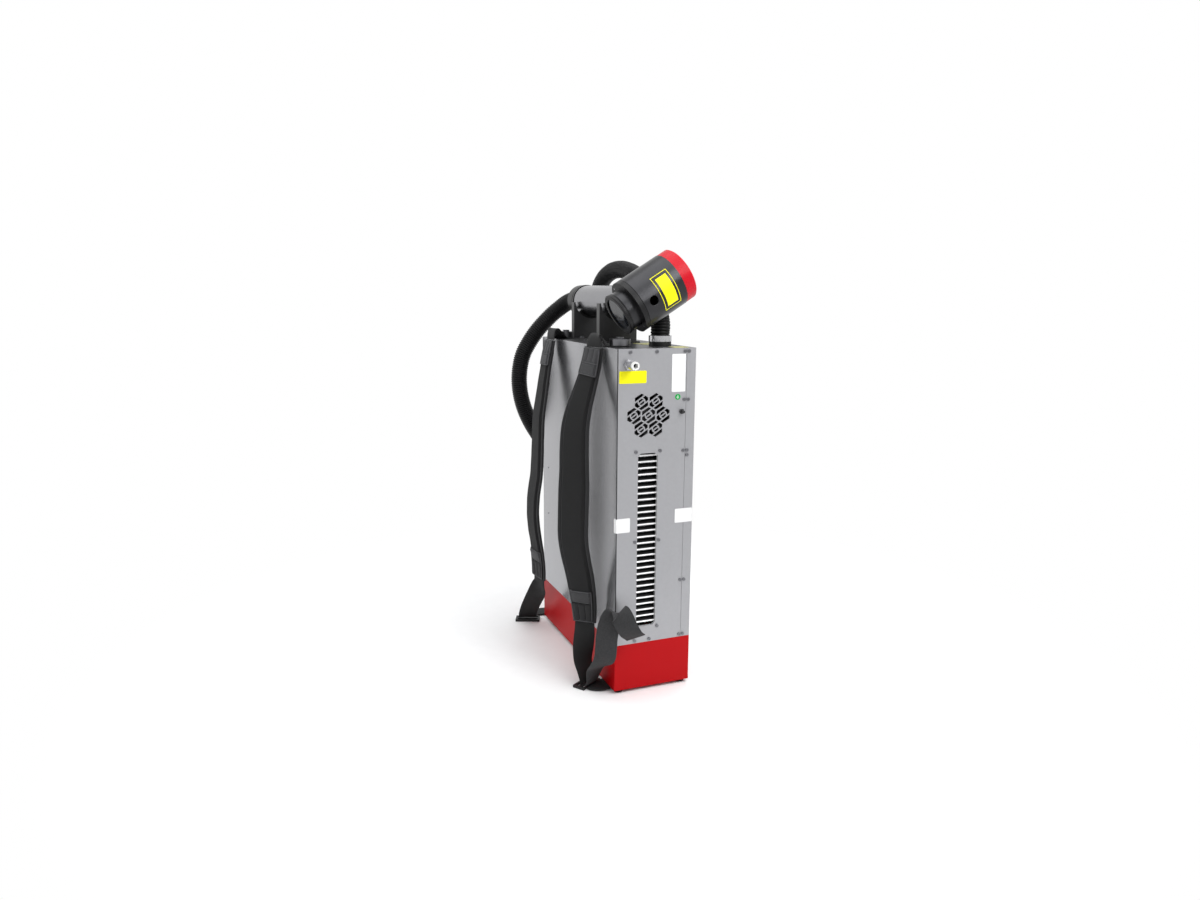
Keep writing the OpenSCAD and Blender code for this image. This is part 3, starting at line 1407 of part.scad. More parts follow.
base_tray();
base_feet();
chassis_frame();
wearer_cover();
side_cover();
front_panel();
rear_panel();
top_panel();
panel_screws();
louvre_grille();
fan_frame();
fan_rotor();
heat_sink();
laser_source();
power_supply();
control_board();
air_valve();
air_line();
fibre_lead();
air_inlet_body();
air_release_ring();
earth_stud();
gland_base();
gland_nut();
hose();
hose_collar();
cradle_base();
cradle_front();
cradle_rear();
cradle_liners();
cradle_screws();
strap_knob_front();
strap_knob_rear();
strap_bolts();
strap_pad_front();
strap_pad_rear();
webbing_front();
webbing_rear();
strap_sliders();
webbing_tail();
head_body();
head_flange();
lens_barrel();
lens_ring();
protective_glass();
focus_lens();
end_cap();
galvo_motor();
scan_mirror();
galvo_board();
handle_neck();
handle_tube();
tail_rings();
collimator();
fire_button();
mains_inlet();
power_switch();
key_switch();
emergency_stop();
switch_bodies();
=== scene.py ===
"""Backpack laser cleaning machine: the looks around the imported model."""

import math

import bpy
from mathutils import Matrix, Vector


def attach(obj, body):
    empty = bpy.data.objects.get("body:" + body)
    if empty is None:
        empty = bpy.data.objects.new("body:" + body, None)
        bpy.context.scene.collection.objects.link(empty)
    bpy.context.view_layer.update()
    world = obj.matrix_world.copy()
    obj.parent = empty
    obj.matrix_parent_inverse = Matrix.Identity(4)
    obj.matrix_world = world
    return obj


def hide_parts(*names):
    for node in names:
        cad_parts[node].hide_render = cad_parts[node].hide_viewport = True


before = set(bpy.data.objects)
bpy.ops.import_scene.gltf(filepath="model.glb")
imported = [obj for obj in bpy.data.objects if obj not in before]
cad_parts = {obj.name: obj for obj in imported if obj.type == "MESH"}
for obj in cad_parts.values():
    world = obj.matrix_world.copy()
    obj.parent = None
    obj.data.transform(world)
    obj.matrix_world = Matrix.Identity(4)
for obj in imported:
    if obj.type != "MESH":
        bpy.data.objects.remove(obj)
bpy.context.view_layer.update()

MM = 0.001
# these guard against a step of no length and against rounding, in metres
TINY = 1e-12
SLACK = 1e-9


def mm(*values):
    """A point given in millimetres, in metres."""
    return Vector(values) * MM


# paths


def spline_at(a, b, c, d, t):
    """One point of the smooth line through b and c, at a share t of the way between them."""
    bend = 2 * a - 5 * b + 4 * c - d
    twist = 3 * b - a - 3 * c + d
    return 0.5 * (2 * b + (c - a) * t + bend * t * t + twist * t * t * t)


def smooth(route, steps):
    """A route of equal-length tuples, as a dense smooth line of vectors."""
    r = [Vector(p) for p in route]
    r = [2 * r[0] - r[1]] + r + [2 * r[-1] - r[-2]]
    line = [spline_at(*r[i - 1:i + 3], k / steps) for i in range(1, len(r) - 2) for k in range(steps)]
    return line + [r[-2]]


def running_length(points):
    """The distance of each point along the line."""
    run = [0.0]
    for a, b in zip(points, points[1:]):
        run.append(run[-1] + (b - a).length)
    return run


def even(points, count):
    """The same line as count + 1 points at equal distances."""
    run = running_length(points)
    out, j = [], 0
    for k in range(count + 1):
        s = run[-1] * k / count
        while j < len(run) - 2 and run[j + 1] < s:
            j += 1
        share = (s - run[j]) / max(run[j + 1] - run[j], TINY)
        out.append(points[j].lerp(points[j + 1], min(max(share, 0), 1)))
    return out


def headings(points):
    """The direction of the line at each point."""
    last = len(points) - 1
    return [(points[min(i + 1, last)] - points[max(i - 1, 0)]).normalized() for i in range(last + 1)]


def square_to(v, t):
    """The part of v that is square to t, one long."""
    return (v - v.dot(t) * t).normalized()


def turns(sides):
    """The angles of a ring's points."""
    return [2 * math.pi * k / sides for k in range(sides)]


# objects


def select_only(obj=None):
    bpy.ops.object.select_all(action="DESELECT")
    if obj:
        obj.select_set(True)
        bpy.context.view_layer.objects.active = obj


def mesh_object(name, points, faces, uvs=None):
    """A mesh of points and faces, with one UV pair for each point if given."""
    data = bpy.data.meshes.new(name)
    data.from_pydata([tuple(p) for p in points], [], faces)
    if uvs:
        layer = data.uv_layers.new(name="UVMap")
        for loop in data.loops:
            layer.data[loop.index].uv = uvs[loop.vertex_index]
    obj = bpy.data.objects.new(name, data)
    bpy.context.scene.collection.objects.link(obj)
    return obj


def ring_faces(rows, sides, first=0, looped=False):
    """The faces between rings of equally many points, the first of them at index first."""
    faces = []
    for i in range(rows if looped else rows - 1):
        here, beyond = first + i * sides, first + (i + 1) % rows * sides
        for k in range(sides):
            beside = (k + 1) % sides
            faces.append([here + k, here + beside, beyond + beside, beyond + k])
    return faces


def cap_faces(rows, sides, first=0):
    """The two ends of a row of rings."""
    last = first + (rows - 1) * sides
    return [[first + k for k in range(sides)][::-1], [last + k for k in range(sides)]]


def loft(name, rings, along):
    """A closed skin over rings; along is the distance of each ring, for the UV map."""
    sides = len(rings[0])
    points = [p for ring in rings for p in ring]
    faces = ring_faces(len(rings), sides) + cap_faces(len(rings), sides)
    uvs = [(d, around) for d, ring in zip(along, rings) for around in running_length(ring)]
    return mesh_object(name, points, faces, uvs)


def bevel_edges(obj, width, segments):
    """Rounds the sharp edges of a piece; the width is in mm."""
    bevel = obj.modifiers.new("edge", "BEVEL")
    bevel.width = width * MM
    bevel.segments = segments
    bevel.limit_method = "ANGLE"
    select_only(obj)
    bpy.ops.object.modifier_apply(modifier=bevel.name)


def finish_piece(obj, body, material, smooth_angle=35):
    """Puts the piece's place into its mesh and hands it to a body."""
    select_only(obj)
    bpy.ops.object.transform_apply(location=True, rotation=True, scale=True)
    bpy.ops.object.shade_smooth_by_angle(angle=math.radians(smooth_angle))
    obj.data.materials.clear()
    obj.data.materials.append(material)
    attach(obj, body)


CORNER_SEGMENTS = 6
# an edge counts as parallel to an axis when this share of its length lies along it
PARALLEL_SHARE = 0.99


def plate(name, low, high, corner, corner_axis, material):
    """A thin plate on the case between two corners in mm, its four corners rounded about one axis."""
    select_only()
    bpy.ops.mesh.primitive_cube_add(size=1, location=[(a + b) / 2 * MM for a, b in zip(low, high)])
    obj = bpy.context.object
    obj.name = name
    obj.scale = [(b - a) * MM for a, b in zip(low, high)]
    bpy.ops.object.transform_apply(location=True, rotation=True, scale=True)
    bpy.ops.object.mode_set(mode="EDIT")
    bpy.ops.mesh.select_mode(type="EDGE")
    bpy.ops.mesh.select_all(action="DESELECT")
    bpy.ops.object.mode_set(mode="OBJECT")
    for edge in obj.data.edges:
        a, b = (obj.data.vertices[i].co for i in edge.vertices)
        edge.select = abs((b - a)[corner_axis]) > PARALLEL_SHARE * (b - a).length
    bpy.ops.object.mode_set(mode="EDIT")
    bpy.ops.mesh.bevel(offset=corner * MM, segments=CORNER_SEGMENTS, affect="EDGES")
    bpy.ops.object.mode_set(mode="OBJECT")
    finish_piece(obj, "case", material)


def disc(name, at, r, thick, turn, body, material, sides=32, bevel=0.0, segments=3):
    """A flat round piece at a point in metres, its sizes in mm; turn is the rotation that lays its axis."""
    select_only()
    bpy.ops.mesh.primitive_cylinder_add(vertices=sides, radius=r * MM, depth=thick * MM, location=at,
                                        rotation=turn)
    obj = bpy.context.object
    obj.name = name
    if bevel:
        bevel_edges(obj, bevel, segments)
    finish_piece(obj, body, material)


# camera

# recovered from the case's own edges in the photograph; the lens and the sensor are in mm
CAMERA_AT = Vector((-0.6262, -1.5006, 0.6960))
CAMERA_YAW = math.radians(21.884)
CAMERA_PITCH = math.radians(-10.546)
CAMERA_ROLL = math.radians(0.332)
CAMERA_LENS = 25.89
SENSOR_W = 36
VIEW_END = 50

cos_y, sin_y = math.cos(CAMERA_YAW), math.sin(CAMERA_YAW)
cos_p, sin_p = math.cos(CAMERA_PITCH), math.sin(CAMERA_PITCH)
cos_r, sin_r = math.cos(CAMERA_ROLL), math.sin(CAMERA_ROLL)
look = Vector((sin_y * cos_p, cos_y * cos_p, sin_p))
level_right = Vector((cos_y, -sin_y, 0))
level_up = level_right.cross(look)
right = cos_r * level_right + sin_r * level_up
up = -sin_r * level_right + cos_r * level_up

camera_data = bpy.data.cameras.new("camera")
camera_data.lens = CAMERA_LENS
camera_data.sensor_width = SENSOR_W
camera_data.clip_end = VIEW_END
camera = bpy.data.objects.new("camera", camera_data)
bpy.context.scene.collection.objects.link(camera)
camera.matrix_world = Matrix.Translation(CAMERA_AT) @ Matrix((right, up, -look)).transposed().to_4x4()
bpy.context.scene.camera = camera

# materials


def linear(code):
    """A hex sRGB colour as Blender's linear values."""
    parts = [int(code[i:i + 2], 16) / 255 for i in (1, 3, 5)]
    return tuple([c / 12.92 if c <= 0.04045 else ((c + 0.055) / 1.055) ** 2.4 for c in parts] + [1.0])


def feed(tree, node, inputs):
    """Sets a node's inputs, each to a value or to another node's socket."""
    for key, value in inputs.items():
        if isinstance(value, bpy.types.NodeSocket):
            tree.links.new(value, node.inputs[key])
        else:
            node.inputs[key].default_value = value


def add(tree, kind, inputs=None, **settings):
    """One shader node with its settings and its inputs."""
    node = tree.nodes.new("ShaderNode" + kind)
    for key, value in settings.items():
        setattr(node, key, value)
    feed(tree, node, inputs or {})
    return node


def start_material(name):
    m = bpy.data.materials.new(name)
    m.use_nodes = True
    tree = m.node_tree
    return m, tree, tree.nodes["Principled BSDF"]


def per_mm(size):
    """The texture scale at which one feature is about so many mm."""
    return 1 / (size * MM)


# the sum of two noises lies between these
NOISE_LOW, NOISE_HIGH = 0.6, 1.4


def surface(name, low, high, rough, metallic=0.0, grain=1.0, depth=0.02, patch=30.0, stretch=(1, 1, 1),
            sheen=0.0, spread=0.06, specular=0.5, relief=0.35):
    """A finish whose colour drifts between two hex values, with fine grain in its bump and roughness.

    In mm: the grain's size, the depth of its bump and the size of a patch of one colour.
    """
    m, tree, bsdf = start_material(name)
    place = add(tree, "TexCoord")
    laid = add(tree, "Mapping", {"Vector": place.outputs["Object"], "Scale": stretch})
    drift = add(tree, "TexNoise", {"Vector": laid.outputs[0], "Scale": per_mm(patch), "Detail": 3.0})
    fine = add(tree, "TexNoise", {"Vector": laid.outputs[0], "Scale": per_mm(grain), "Detail": 2.0})
    both = add(tree, "Math", {0: drift.outputs["Fac"], 1: fine.outputs["Fac"]}, operation="ADD")
    share = add(tree, "MapRange", {"Value": both.outputs[0], "From Min": NOISE_LOW, "From Max": NOISE_HIGH})
    colour = add(tree, "Mix", {0: share.outputs[0], 6: linear(low), 7: linear(high)}, data_type="RGBA")
    dull = add(tree, "MapRange", {"Value": share.outputs[0], "To Min": rough - spread,
                                  "To Max": rough + spread})
    bump = add(tree, "Bump", {"Height": fine.outputs["Fac"], "Strength": relief, "Distance": depth * MM})
    feed(tree, bsdf, {"Base Color": colour.outputs[2], "Roughness": dull.outputs[0],
                      "Normal": bump.outputs[0], "Metallic": metallic, "Sheen Weight": sheen,
                      "Specular IOR Level": specular})
    return m


# the weave and the fuzz together lie between these
WEAVE_LOW, WEAVE_HIGH = 0.35, 1.4
WEAVE_RELIEF = 0.6
WEAVE_DEPTH = 0.25
# the rows along a strap are this many times as wide as the ribs across it
ROW_SHARE = 1.6
FUZZ_MM = 2.5


def wave_per_mm(size):
    """A wave texture's scale for one wave every so many mm; at scale 1 a wave is pi / 10 long."""
    return math.pi / 10 * per_mm(size)


def woven(name, low, high, thread, rough, sheen):
    """Webbing or cloth on the piece's own UV map in metres: ribs across, threads along."""
    m, tree, bsdf = start_material(name)
    place = add(tree, "TexCoord")
    ribs, rows = (add(tree, "TexWave", {"Vector": place.outputs["UV"], "Scale": wave_per_mm(size),
                                        "Distortion": 0.4, "Detail": 1.0}, bands_direction=way)
                  for size, way in ((thread, "X"), (ROW_SHARE * thread, "Y")))
    weave = add(tree, "Math", {0: ribs.outputs["Fac"], 1: rows.outputs["Fac"]}, operation="MULTIPLY")
    fuzz = add(tree, "TexNoise", {"Vector": place.outputs["Object"], "Scale": per_mm(FUZZ_MM), "Detail": 4.0})
    both = add(tree, "Math", {0: weave.outputs[0], 1: fuzz.outputs["Fac"]}, operation="ADD")
    share = add(tree, "MapRange", {"Value": both.outputs[0], "From Min": WEAVE_LOW, "From Max": WEAVE_HIGH})
    colour = add(tree, "Mix", {0: share.outputs[0], 6: linear(low), 7: linear(high)}, data_type="RGBA")
    bump = add(tree, "Bump", {"Height": weave.outputs[0], "Strength": WEAVE_RELIEF,
                              "Distance": WEAVE_DEPTH * MM})
    feed(tree, bsdf, {"Base Color": colour.outputs[2], "Normal": bump.outputs[0], "Roughness": rough,
                      "Sheen Weight": sheen})
    return m


# how deep the painted highlight on a slat's front edge is in mm, and how metallic the edge looks
EDGE_LIGHT_DEPTH = 0.8
EDGE_METALLIC = 0.6


def painted_edge_slats(name, light_low, light_high, shade_colour, y_edge, rough):
    """Slats with a painted highlight, near white, on their front edges and painted shade, near black, behind
    them.
    """
    m, tree, bsdf = start_material(name)
    place = add(tree, "TexCoord")
    parts = add(tree, "SeparateXYZ", {0: place.outputs["Object"]})
    inside = add(tree, "MapRange", {"Value": parts.outputs["Y"], "From Min": y_edge * MM,
                                    "From Max": (y_edge + EDGE_LIGHT_DEPTH) * MM})
    fine = add(tree, "TexNoise", {"Vector": place.outputs["Object"], "Scale": per_mm(2.0), "Detail": 2.0})
    # the painted highlight of each front edge, near white with fine noise in its tone
    edge_light = add(tree, "Mix", {0: fine.outputs["Fac"], 6: linear(light_low), 7: linear(light_high)},
               data_type="RGBA")
    # painted shade, near black, behind the edge
    colour = add(tree, "Mix", {0: inside.outputs[0], 6: edge_light.outputs[2], 7: linear(shade_colour)}, data_type="RGBA")
    edge_metal = add(tree, "MapRange", {"Value": inside.outputs[0], "To Min": EDGE_METALLIC, "To Max": 0.0})
    feed(tree, bsdf, {"Base Color": colour.outputs[2], "Metallic": edge_metal.outputs[0], "Roughness": rough,
                      "Specular IOR Level": 0.25})
    return m


GLASS_IOR = 1.5
# the share of light that passes the coating
GLASS_CLEAR = 0.25
DUST_MM = 6.0
DUST_SPREAD = 0.06


def clear_glass(name, film_low, film_high, rough):
    """Coated optical glass: dark from outside, with a faint coloured film."""
    m, tree, bsdf = start_material(name)
    place = add(tree, "TexCoord")
    dust = add(tree, "TexNoise", {"Vector": place.outputs["Object"], "Scale": per_mm(DUST_MM), "Detail": 3.0})
    dull = add(tree, "MapRange", {"Value": dust.outputs["Fac"], "To Min": rough,
                                  "To Max": rough + DUST_SPREAD})
    film = add(tree, "Mix", {0: dust.outputs["Fac"], 6: linear(film_low), 7: linear(film_high)},
               data_type="RGBA")
    feed(tree, bsdf, {"Base Color": film.outputs[2], "Roughness": dull.outputs[0],
                      "Transmission Weight": GLASS_CLEAR, "IOR": GLASS_IOR, "Specular IOR Level": 0.2})
    return m


# satin powder coat on sheet steel: even and pale, lit by the boxes rather than mirroring them
silver_coat = surface("silver_powder_coat", "#A2A2A5", "#A7A7AA", 0.34, metallic=0.5, grain=5, depth=0.003,
                      patch=90, spread=0.02, specular=0.35, relief=0.1)
# the rubbed wearer-side cover: the same coat worn smooth, so the straps and the room show in it as soft bands
rubbed_silver = surface("rubbed_silver_paint", "#A0A0A3", "#A4A4A7", 0.23, metallic=0.9, grain=5, depth=0.002,
                        patch=90, spread=0.01, specular=0.35, relief=0.06)
# the same coat in dark grey on the lid
grey_coat = surface("grey_powder_coat", "#343436", "#3C3C3E", 0.4, metallic=0.3, grain=0.9, depth=0.006,
                    spread=0.02)
# enamel over primer: deep colour with a soft clear highlight
red_enamel = surface("red_gloss_enamel", "#AC020A", "#B2040C", 0.42, grain=0.9, depth=0.003, patch=90,
                     specular=0.13, spread=0.02, relief=0.08)
# black powder coat of the cradle's bent plates
black_coat = surface("black_powder_coat", "#272728", "#303031", 0.42, grain=0.6, depth=0.012, spread=0.03)
# hard anodised aluminium, nearly black: a satin band of light runs down each turned part
black_anodised = surface("black_anodised_aluminium", "#38383A", "#404042", 0.3, metallic=0.9, grain=0.8,
                         depth=0.003, spread=0.02, relief=0.08)
# the same anodising, rougher and darker, on the flange, ring, neck and collar: painted shade on the flange
# and the ring, which sit in shadow
shaded_anodised = surface("anodised_aluminium_with_painted_shade", "#1B1B1C", "#222223", 0.38, metallic=0.6, grain=0.7,
                        depth=0.005, spread=0.03, relief=0.08)
# titanium-grey anodised tube of the handle, drawn lengthwise, bright on top
grey_anodised = surface("grey_anodised_aluminium", "#848487", "#88888B", 0.25, metallic=1.0, grain=6.0,
                        depth=0.002, stretch=(1, 0.3, 1), spread=0.01, relief=0.08)
# bright turned steel of the fittings: sharp small highlights
bright_steel = surface("bright_turned_steel", "#C6C6C9", "#D4D4D6", 0.24, metallic=1.0, grain=0.8,
                       depth=0.003, relief=0.08)
# zinc-plated screws, duller than the fittings, so that each head reads as a grey dot with a dark socket
screw_steel = surface("dull_zinc_screw_steel", "#77777B", "#8E8E92", 0.3, metallic=1.0, grain=0.6,
                      depth=0.004)
# vent slats: a painted highlight on the front edge of each, at this place in mm, and painted shade behind it
SLAT_EDGE_Y = -192.5
slat_painted_light = painted_edge_slats("slats_with_painted_edge_light_and_shade", "#F0F0F1", "#FAFAFA", "#0B0B0C", SLAT_EDGE_Y, 0.45)
# satin steel of the two strap knobs, darker than the fittings
knob_steel = surface("satin_knob_steel", "#7E7E81", "#8A8A8D", 0.3, metallic=1.0, grain=0.8, depth=0.003,
                     spread=0.03, relief=0.08)
# zinc passivate with its faint spangle
zinc_steel = surface("zinc_plated_steel", "#9A9DA1", "#B4B6B8", 0.38, metallic=1.0, grain=2.5, depth=0.01,
                     patch=12)
# milled aluminium: fine feed lines along one axis
bare_aluminium = surface("milled_aluminium", "#B4B6BA", "#CACCCF", 0.34, metallic=1.0, grain=0.6, depth=0.02,
                         stretch=(1, 1, 6))
# moulded black ABS with a spark-eroded grain
black_plastic = surface("moulded_black_abs", "#121213", "#1A1A1B", 0.5, grain=0.5, depth=0.02, specular=0.35)
# moulded rubber: no highlight, slightly dusty
black_rubber = surface("moulded_black_rubber", "#0E0E0E", "#161616", 0.75, grain=0.8, depth=0.04,
                       specular=0.25)
# extruded polyamide hose: a satin gleam on each rib's crest
hose_plastic = surface("extruded_black_polyamide", "#0B0B0C", "#111112", 0.42, grain=0.9, depth=0.01,
                       patch=20, specular=0.2, spread=0.04)
# gloss red ABS of the end cap, more pink than the enamel
red_plastic = surface("gloss_red_abs", "#BA031A", "#C0051D", 0.36, grain=0.9, depth=0.003, specular=0.22,
                      spread=0.02, relief=0.08)
# hammered paint on the laser source inside
dark_paint = surface("hammered_grey_paint", "#4A5058", "#5C626B", 0.4, metallic=0.3, grain=1.2, depth=0.06)
# solder mask of the circuit boards
board_green = surface("green_solder_mask", "#0D3A1E", "#155229", 0.3, grain=1.5, depth=0.02, patch=8)
# blue polyurethane air line
tube_blue = surface("blue_polyurethane_tube", "#1D3F8F", "#2750A8", 0.3, grain=1.2, depth=0.01)
# jacket of the fibre lead
fibre_orange = surface("orange_fibre_jacket", "#C27A18", "#D98C22", 0.5, grain=0.8, depth=0.02)
# acetal release ring of the air fitting
white_plastic = surface("white_acetal", "#D8D8D6", "#E4E4E2", 0.4, grain=0.8, depth=0.005)
# printed films: even colour with a slight satin
yellow_film = surface("yellow_polyester_film", "#EDE600", "#F3EC04", 0.5, grain=0.9, depth=0.002,
                      specular=0.25)
pale_film = surface("pale_yellow_film", "#BDBA70", "#C9C67C", 0.5, grain=0.9, depth=0.002, specular=0.25)
white_film = surface("white_polyester_film", "#E4E4E4", "#ECECEC", 0.5, grain=0.9, depth=0.002, specular=0.25)
green_film = surface("green_polyester_film", "#08963F", "#0CA046", 0.5, grain=0.9, depth=0.002, specular=0.25)
# gold coating of the scan mirror: a nearly perfect mirror
mirror_gold = surface("gold_coated_mirror", "#E0B95A", "#EBC66B", 0.06, metallic=1.0, grain=3, depth=0.001)
# coated lens: nearly black with a cool blue film
optic_glass = clear_glass("coated_optical_glass", "#07090D", "#141A24", 0.05)
# polyester air-mesh over foam: dull and almost black
pad_mesh = woven("polyester_air_mesh", "#0E0E0F", "#171718", 1.1, rough=0.95, sheen=0.04)
# grosgrain tape of the pad's edges and the tab, as dark as the pad with a visible rib
edge_cloth = woven("grosgrain_edge_tape", "#161617", "#262628", 0.9, rough=0.85, sheen=0.06)
# coarse nylon of the sewn patches, a shade lighter
patch_cloth = woven("coarse_nylon_patch", "#2A2A2C", "#434345", 1.0, rough=0.8, sheen=0.08)
# the piping that borders the patches, the lightest line on the strap
piping_cloth = woven("nylon_piping", "#454547", "#5E5E60", 0.9, rough=0.8, sheen=0.08)
# black polypropylene webbing
strap_black = woven("black_polypropylene_webbing", "#0A0A0B", "#141415", 1.3, rough=0.8, sheen=0.04)
# the loose tail: washed-out black with a clear weave
strap_grey = woven("grey_polypropylene_webbing", "#1D1D1E", "#3A3A3C", 1.3, rough=0.85, sheen=0.06)
# sewing thread
thread_grey = surface("bonded_nylon_thread", "#3A3A3D", "#4C4C50", 0.6, grain=0.4, depth=0.02, sheen=0.1)
# painted shade: a dark strip for the shade in the gap between the wearer-side cover and the vent panel
seam_painted_shade = surface("painted_seam_shade", "#161617", "#1E1E1F", 0.6, grain=0.8, depth=0.01, specular=0.25)

# each finish and the nodes that have it
FINISHES = (
    (silver_coat, "side_cover", "front_panel", "rear_panel"),
    (rubbed_silver, "wearer_cover"),
    (grey_coat, "top_panel"),
    (red_enamel, "base_tray"),
    (black_coat, "cradle_base", "cradle_front", "cradle_rear", "earth_stud"),
    (black_anodised, "head_body", "lens_barrel"),
    # darker anodising: painted shade on the flange and the lens ring
    (shaded_anodised, "head_flange", "lens_ring", "handle_neck", "tail_rings", "hose_collar"),
    (grey_anodised, "handle_tube"),
    (bright_steel, "air_inlet_body", "gland_nut", "strap_bolts", "key_switch"),
    (screw_steel, "panel_screws", "cradle_screws"),
    # the vent slats carry a painted edge highlight and painted shade
    (slat_painted_light, "louvre_grille"),
    (knob_steel, "strap_knob_front", "strap_knob_rear"),
    (zinc_steel, "chassis_frame", "power_supply"),
    (bare_aluminium, "heat_sink", "air_valve", "galvo_motor", "collimator"),
    (black_plastic, "fan_frame", "fan_rotor", "gland_base", "strap_sliders", "mains_inlet", "power_switch",
     "switch_bodies"),
    (black_rubber, "base_feet", "cradle_liners"),
    (hose_plastic, "hose"),
    (red_plastic, "end_cap", "fire_button", "emergency_stop"),
    (dark_paint, "laser_source"),
    (board_green, "control_board", "galvo_board"),
    (tube_blue, "air_line"),
    (fibre_orange, "fibre_lead"),
    (white_plastic, "air_release_ring"),
    (mirror_gold, "scan_mirror"),
    (optic_glass, "protective_glass", "focus_lens"),
    (pad_mesh, "strap_pad_front", "strap_pad_rear"),
    (strap_black, "webbing_front", "webbing_rear"),
    (strap_grey, "webbing_tail"),
)
for finish, *node_names in FINISHES:
    for node_name in node_names:
        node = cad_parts[node_name]
        node.data.materials.clear()
        node.data.materials.append(finish)

# hose

# its centre line in mm, from the gland to the collar
HOSE_ROUTE = [
    (33, -137, 590.2), (33, -137, 607), (33, -137, 623), (35.1, -133.5, 637), (36.2, -123.7, 655.2),
    (39.7, -107.4, 670.8), (46.6, -80, 687), (47.3, -51.3, 702.1), (46.7, -22.4, 714.7), (48.1, 10, 724.1),
    (51.4, 50, 731.2), (54.7, 92, 734.7), (56.3, 134, 732.7), (57.2, 170, 724.1), (58.9, 198, 712.2),
    (60.6, 220, 695.4), (62.9, 236, 673.6), (66.1, 247, 648), (69, 258, 610), (77, 265, 555),
    (87, 270, 490), (94, 272, 425), (98, 272, 372), (96, 272, 318), (88.2, 272, 289), (67, 272, 267.8),
    (38, 272, 260), (9, 272, 267.8), (-12.2, 272, 289), (-28, 272, 322.5), (-43.3, 272, 356.4),
    (-60.9, 272, 385.6), (-77.8, 271, 413.7), (-93.1, 270, 449.4), (-101.2, 269, 487.6),
    (-101.6, 267, 524.2), (-94.6, 264, 559.2), (-79.9, 259, 588.7), (-64, 254, 612), (-48, 249, 630.5),
    (-34, 244.5, 645), (-20.5, 236.5, 657.5), (-11.4, 226.5, 666.4), (-5.2, 212, 672.2), (-3, 195, 674),
    (-3, 178, 674), (-3, 162.2, 674)]
HOSE_R = 17.0
HOSE_ROOT_R = 15.2
HOSE_BORE_R = 13.2
HOSE_RIBS = 345
HOSE_SIDES = 20
HOSE_BORE_RINGS = 120
HOSE_BENDS = 10
HOSE_PATH_STEPS = 260
# one rib: root, rising flank, two points of the crest, falling flank
RIB_FORM = (0.0, 0.7, 1.0, 1.0, 0.7)


def hose_rings(points, radii):
    """A ring of points round each point of the line, turned as little as possible from one to the next."""
    across = square_to(Vector((1, 0, 0)), headings(points)[0])
    rings = []
    for p, t, r in zip(points, headings(points), radii):
        across = square_to(across, t)
        other = t.cross(across)
        rings.append([p + r * (math.cos(a) * across + math.sin(a) * other) for a in turns(HOSE_SIDES)])
    return rings


def make_hose():
    """The ribbed outside and the plain bore, as one tube with a wall."""
    line = smooth([mm(*p) for p in HOSE_ROUTE], HOSE_BENDS)
    outer = even(line, HOSE_RIBS * len(RIB_FORM))
    rise = HOSE_R - HOSE_ROOT_R
    radii = [(HOSE_ROOT_R + rise * RIB_FORM[i % len(RIB_FORM)]) * MM for i in range(len(outer))]
    inner = even(line, HOSE_BORE_RINGS)
    rings = hose_rings(outer, radii) + hose_rings(inner, [HOSE_BORE_R * MM] * len(inner))[::-1]
    obj = mesh_object("ribbed_hose", [p for ring in rings for p in ring],
                      ring_faces(len(rings), HOSE_SIDES, looped=True))
    finish_piece(obj, "case", hose_plastic, smooth_angle=60)
    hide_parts("hose")
    path = even(line, HOSE_PATH_STEPS)


make_hose()

# straps

WEB_W = 38.0
WEB_T = 1.8
WEB_STEPS = 8
# the point between edge and face that rounds the selvedge, as shares of half the thickness
SELVEDGE_SHARES = (0.3, 0.75)
# centre lines from the knob to the floor: x, y and z in mm, and the heading of the width in degrees
FRONT_TOP = [(-34, -143, 601, 124), (-43, -137, 601, 124), (-52, -131, 601, 124), (-59, -126.6, 601.4, 123),
             (-64.5, -123, 606, 118), (-69, -120.4, 613.6, 110), (-74.3, -118.5, 619.6, 98),
             (-79.2, -117.3, 617.8, 82), (-81.8, -117, 609.5, 73), (-82.35, -117, 598.7, 70)]
FRONT_PAD = [(-82.5, -117, 598, 70), (-85, -117, 580, 68), (-91.5, -117, 553, 65), (-101, -117, 522, 62),
             (-110.5, -117, 492, 60), (-117, -117, 460, 58), (-119, -117, 420, 56), (-119, -117, 380, 55),
             (-120, -117, 340, 55), (-121, -117, 300, 55), (-121, -117, 262, 55), (-116, -117, 228, 55),
             (-109, -117, 196, 55), (-104.5, -117, 170, 54), (-101.5, -117, 148, 52),
             (-99.5, -117, 126, 49), (-98.5, -117.4, 104, 45)]
FRONT_LOW = [(-98.45, -117.45, 103.3, 45), (-99.5, -119, 84, 34), (-103, -122.5, 62, 14),
             (-105.8, -127, 38, -10), (-105.2, -134.8, 22, -24), (-103.8, -138.8, 10, -30),
             (-103, -140, -0.2, -33)]
FRONT_FLOOR = [(-95.1, -152.2, -3.6, -33), (-91.8, -157.2, -3.4, -36), (-83, -160.8, -2.6, -80),
               (-71, -158, -1.4, -104), (-56, -153.5, -1.2, -106)]
TAIL = [(-97.3, -148.8, 0.1, -33), (-94.6, -153, 12, -31), (-95.5, -166, 33, -12), (-94.5, -186, 49, 10),
        (-92, -198.5, 66, 20), (-91.5, -203, 88, 22), (-91, -206, 112, 22), (-87.5, -210, 136, 22),
        (-81, -215.5, 151, 22), (-75.5, -222, 154, 22), (-71, -227, 146, 22), (-64.5, -229, 131, 22),
        (-55.5, -227, 117, 22), (-44.4, -223, 106.5, 22)]
REAR_TOP = [(-34, 143, 601, 56), (-43, 137, 601, 56), (-52, 131, 601, 56), (-59, 126.6, 601.4, 57),
            (-64.5, 123, 606, 62), (-69, 120.4, 613.6, 70), (-74, 118.5, 619.6, 80),
            (-78.6, 117.3, 617.8, 87), (-81.2, 117, 609.5, 88), (-81.85, 117, 598.7, 88)]
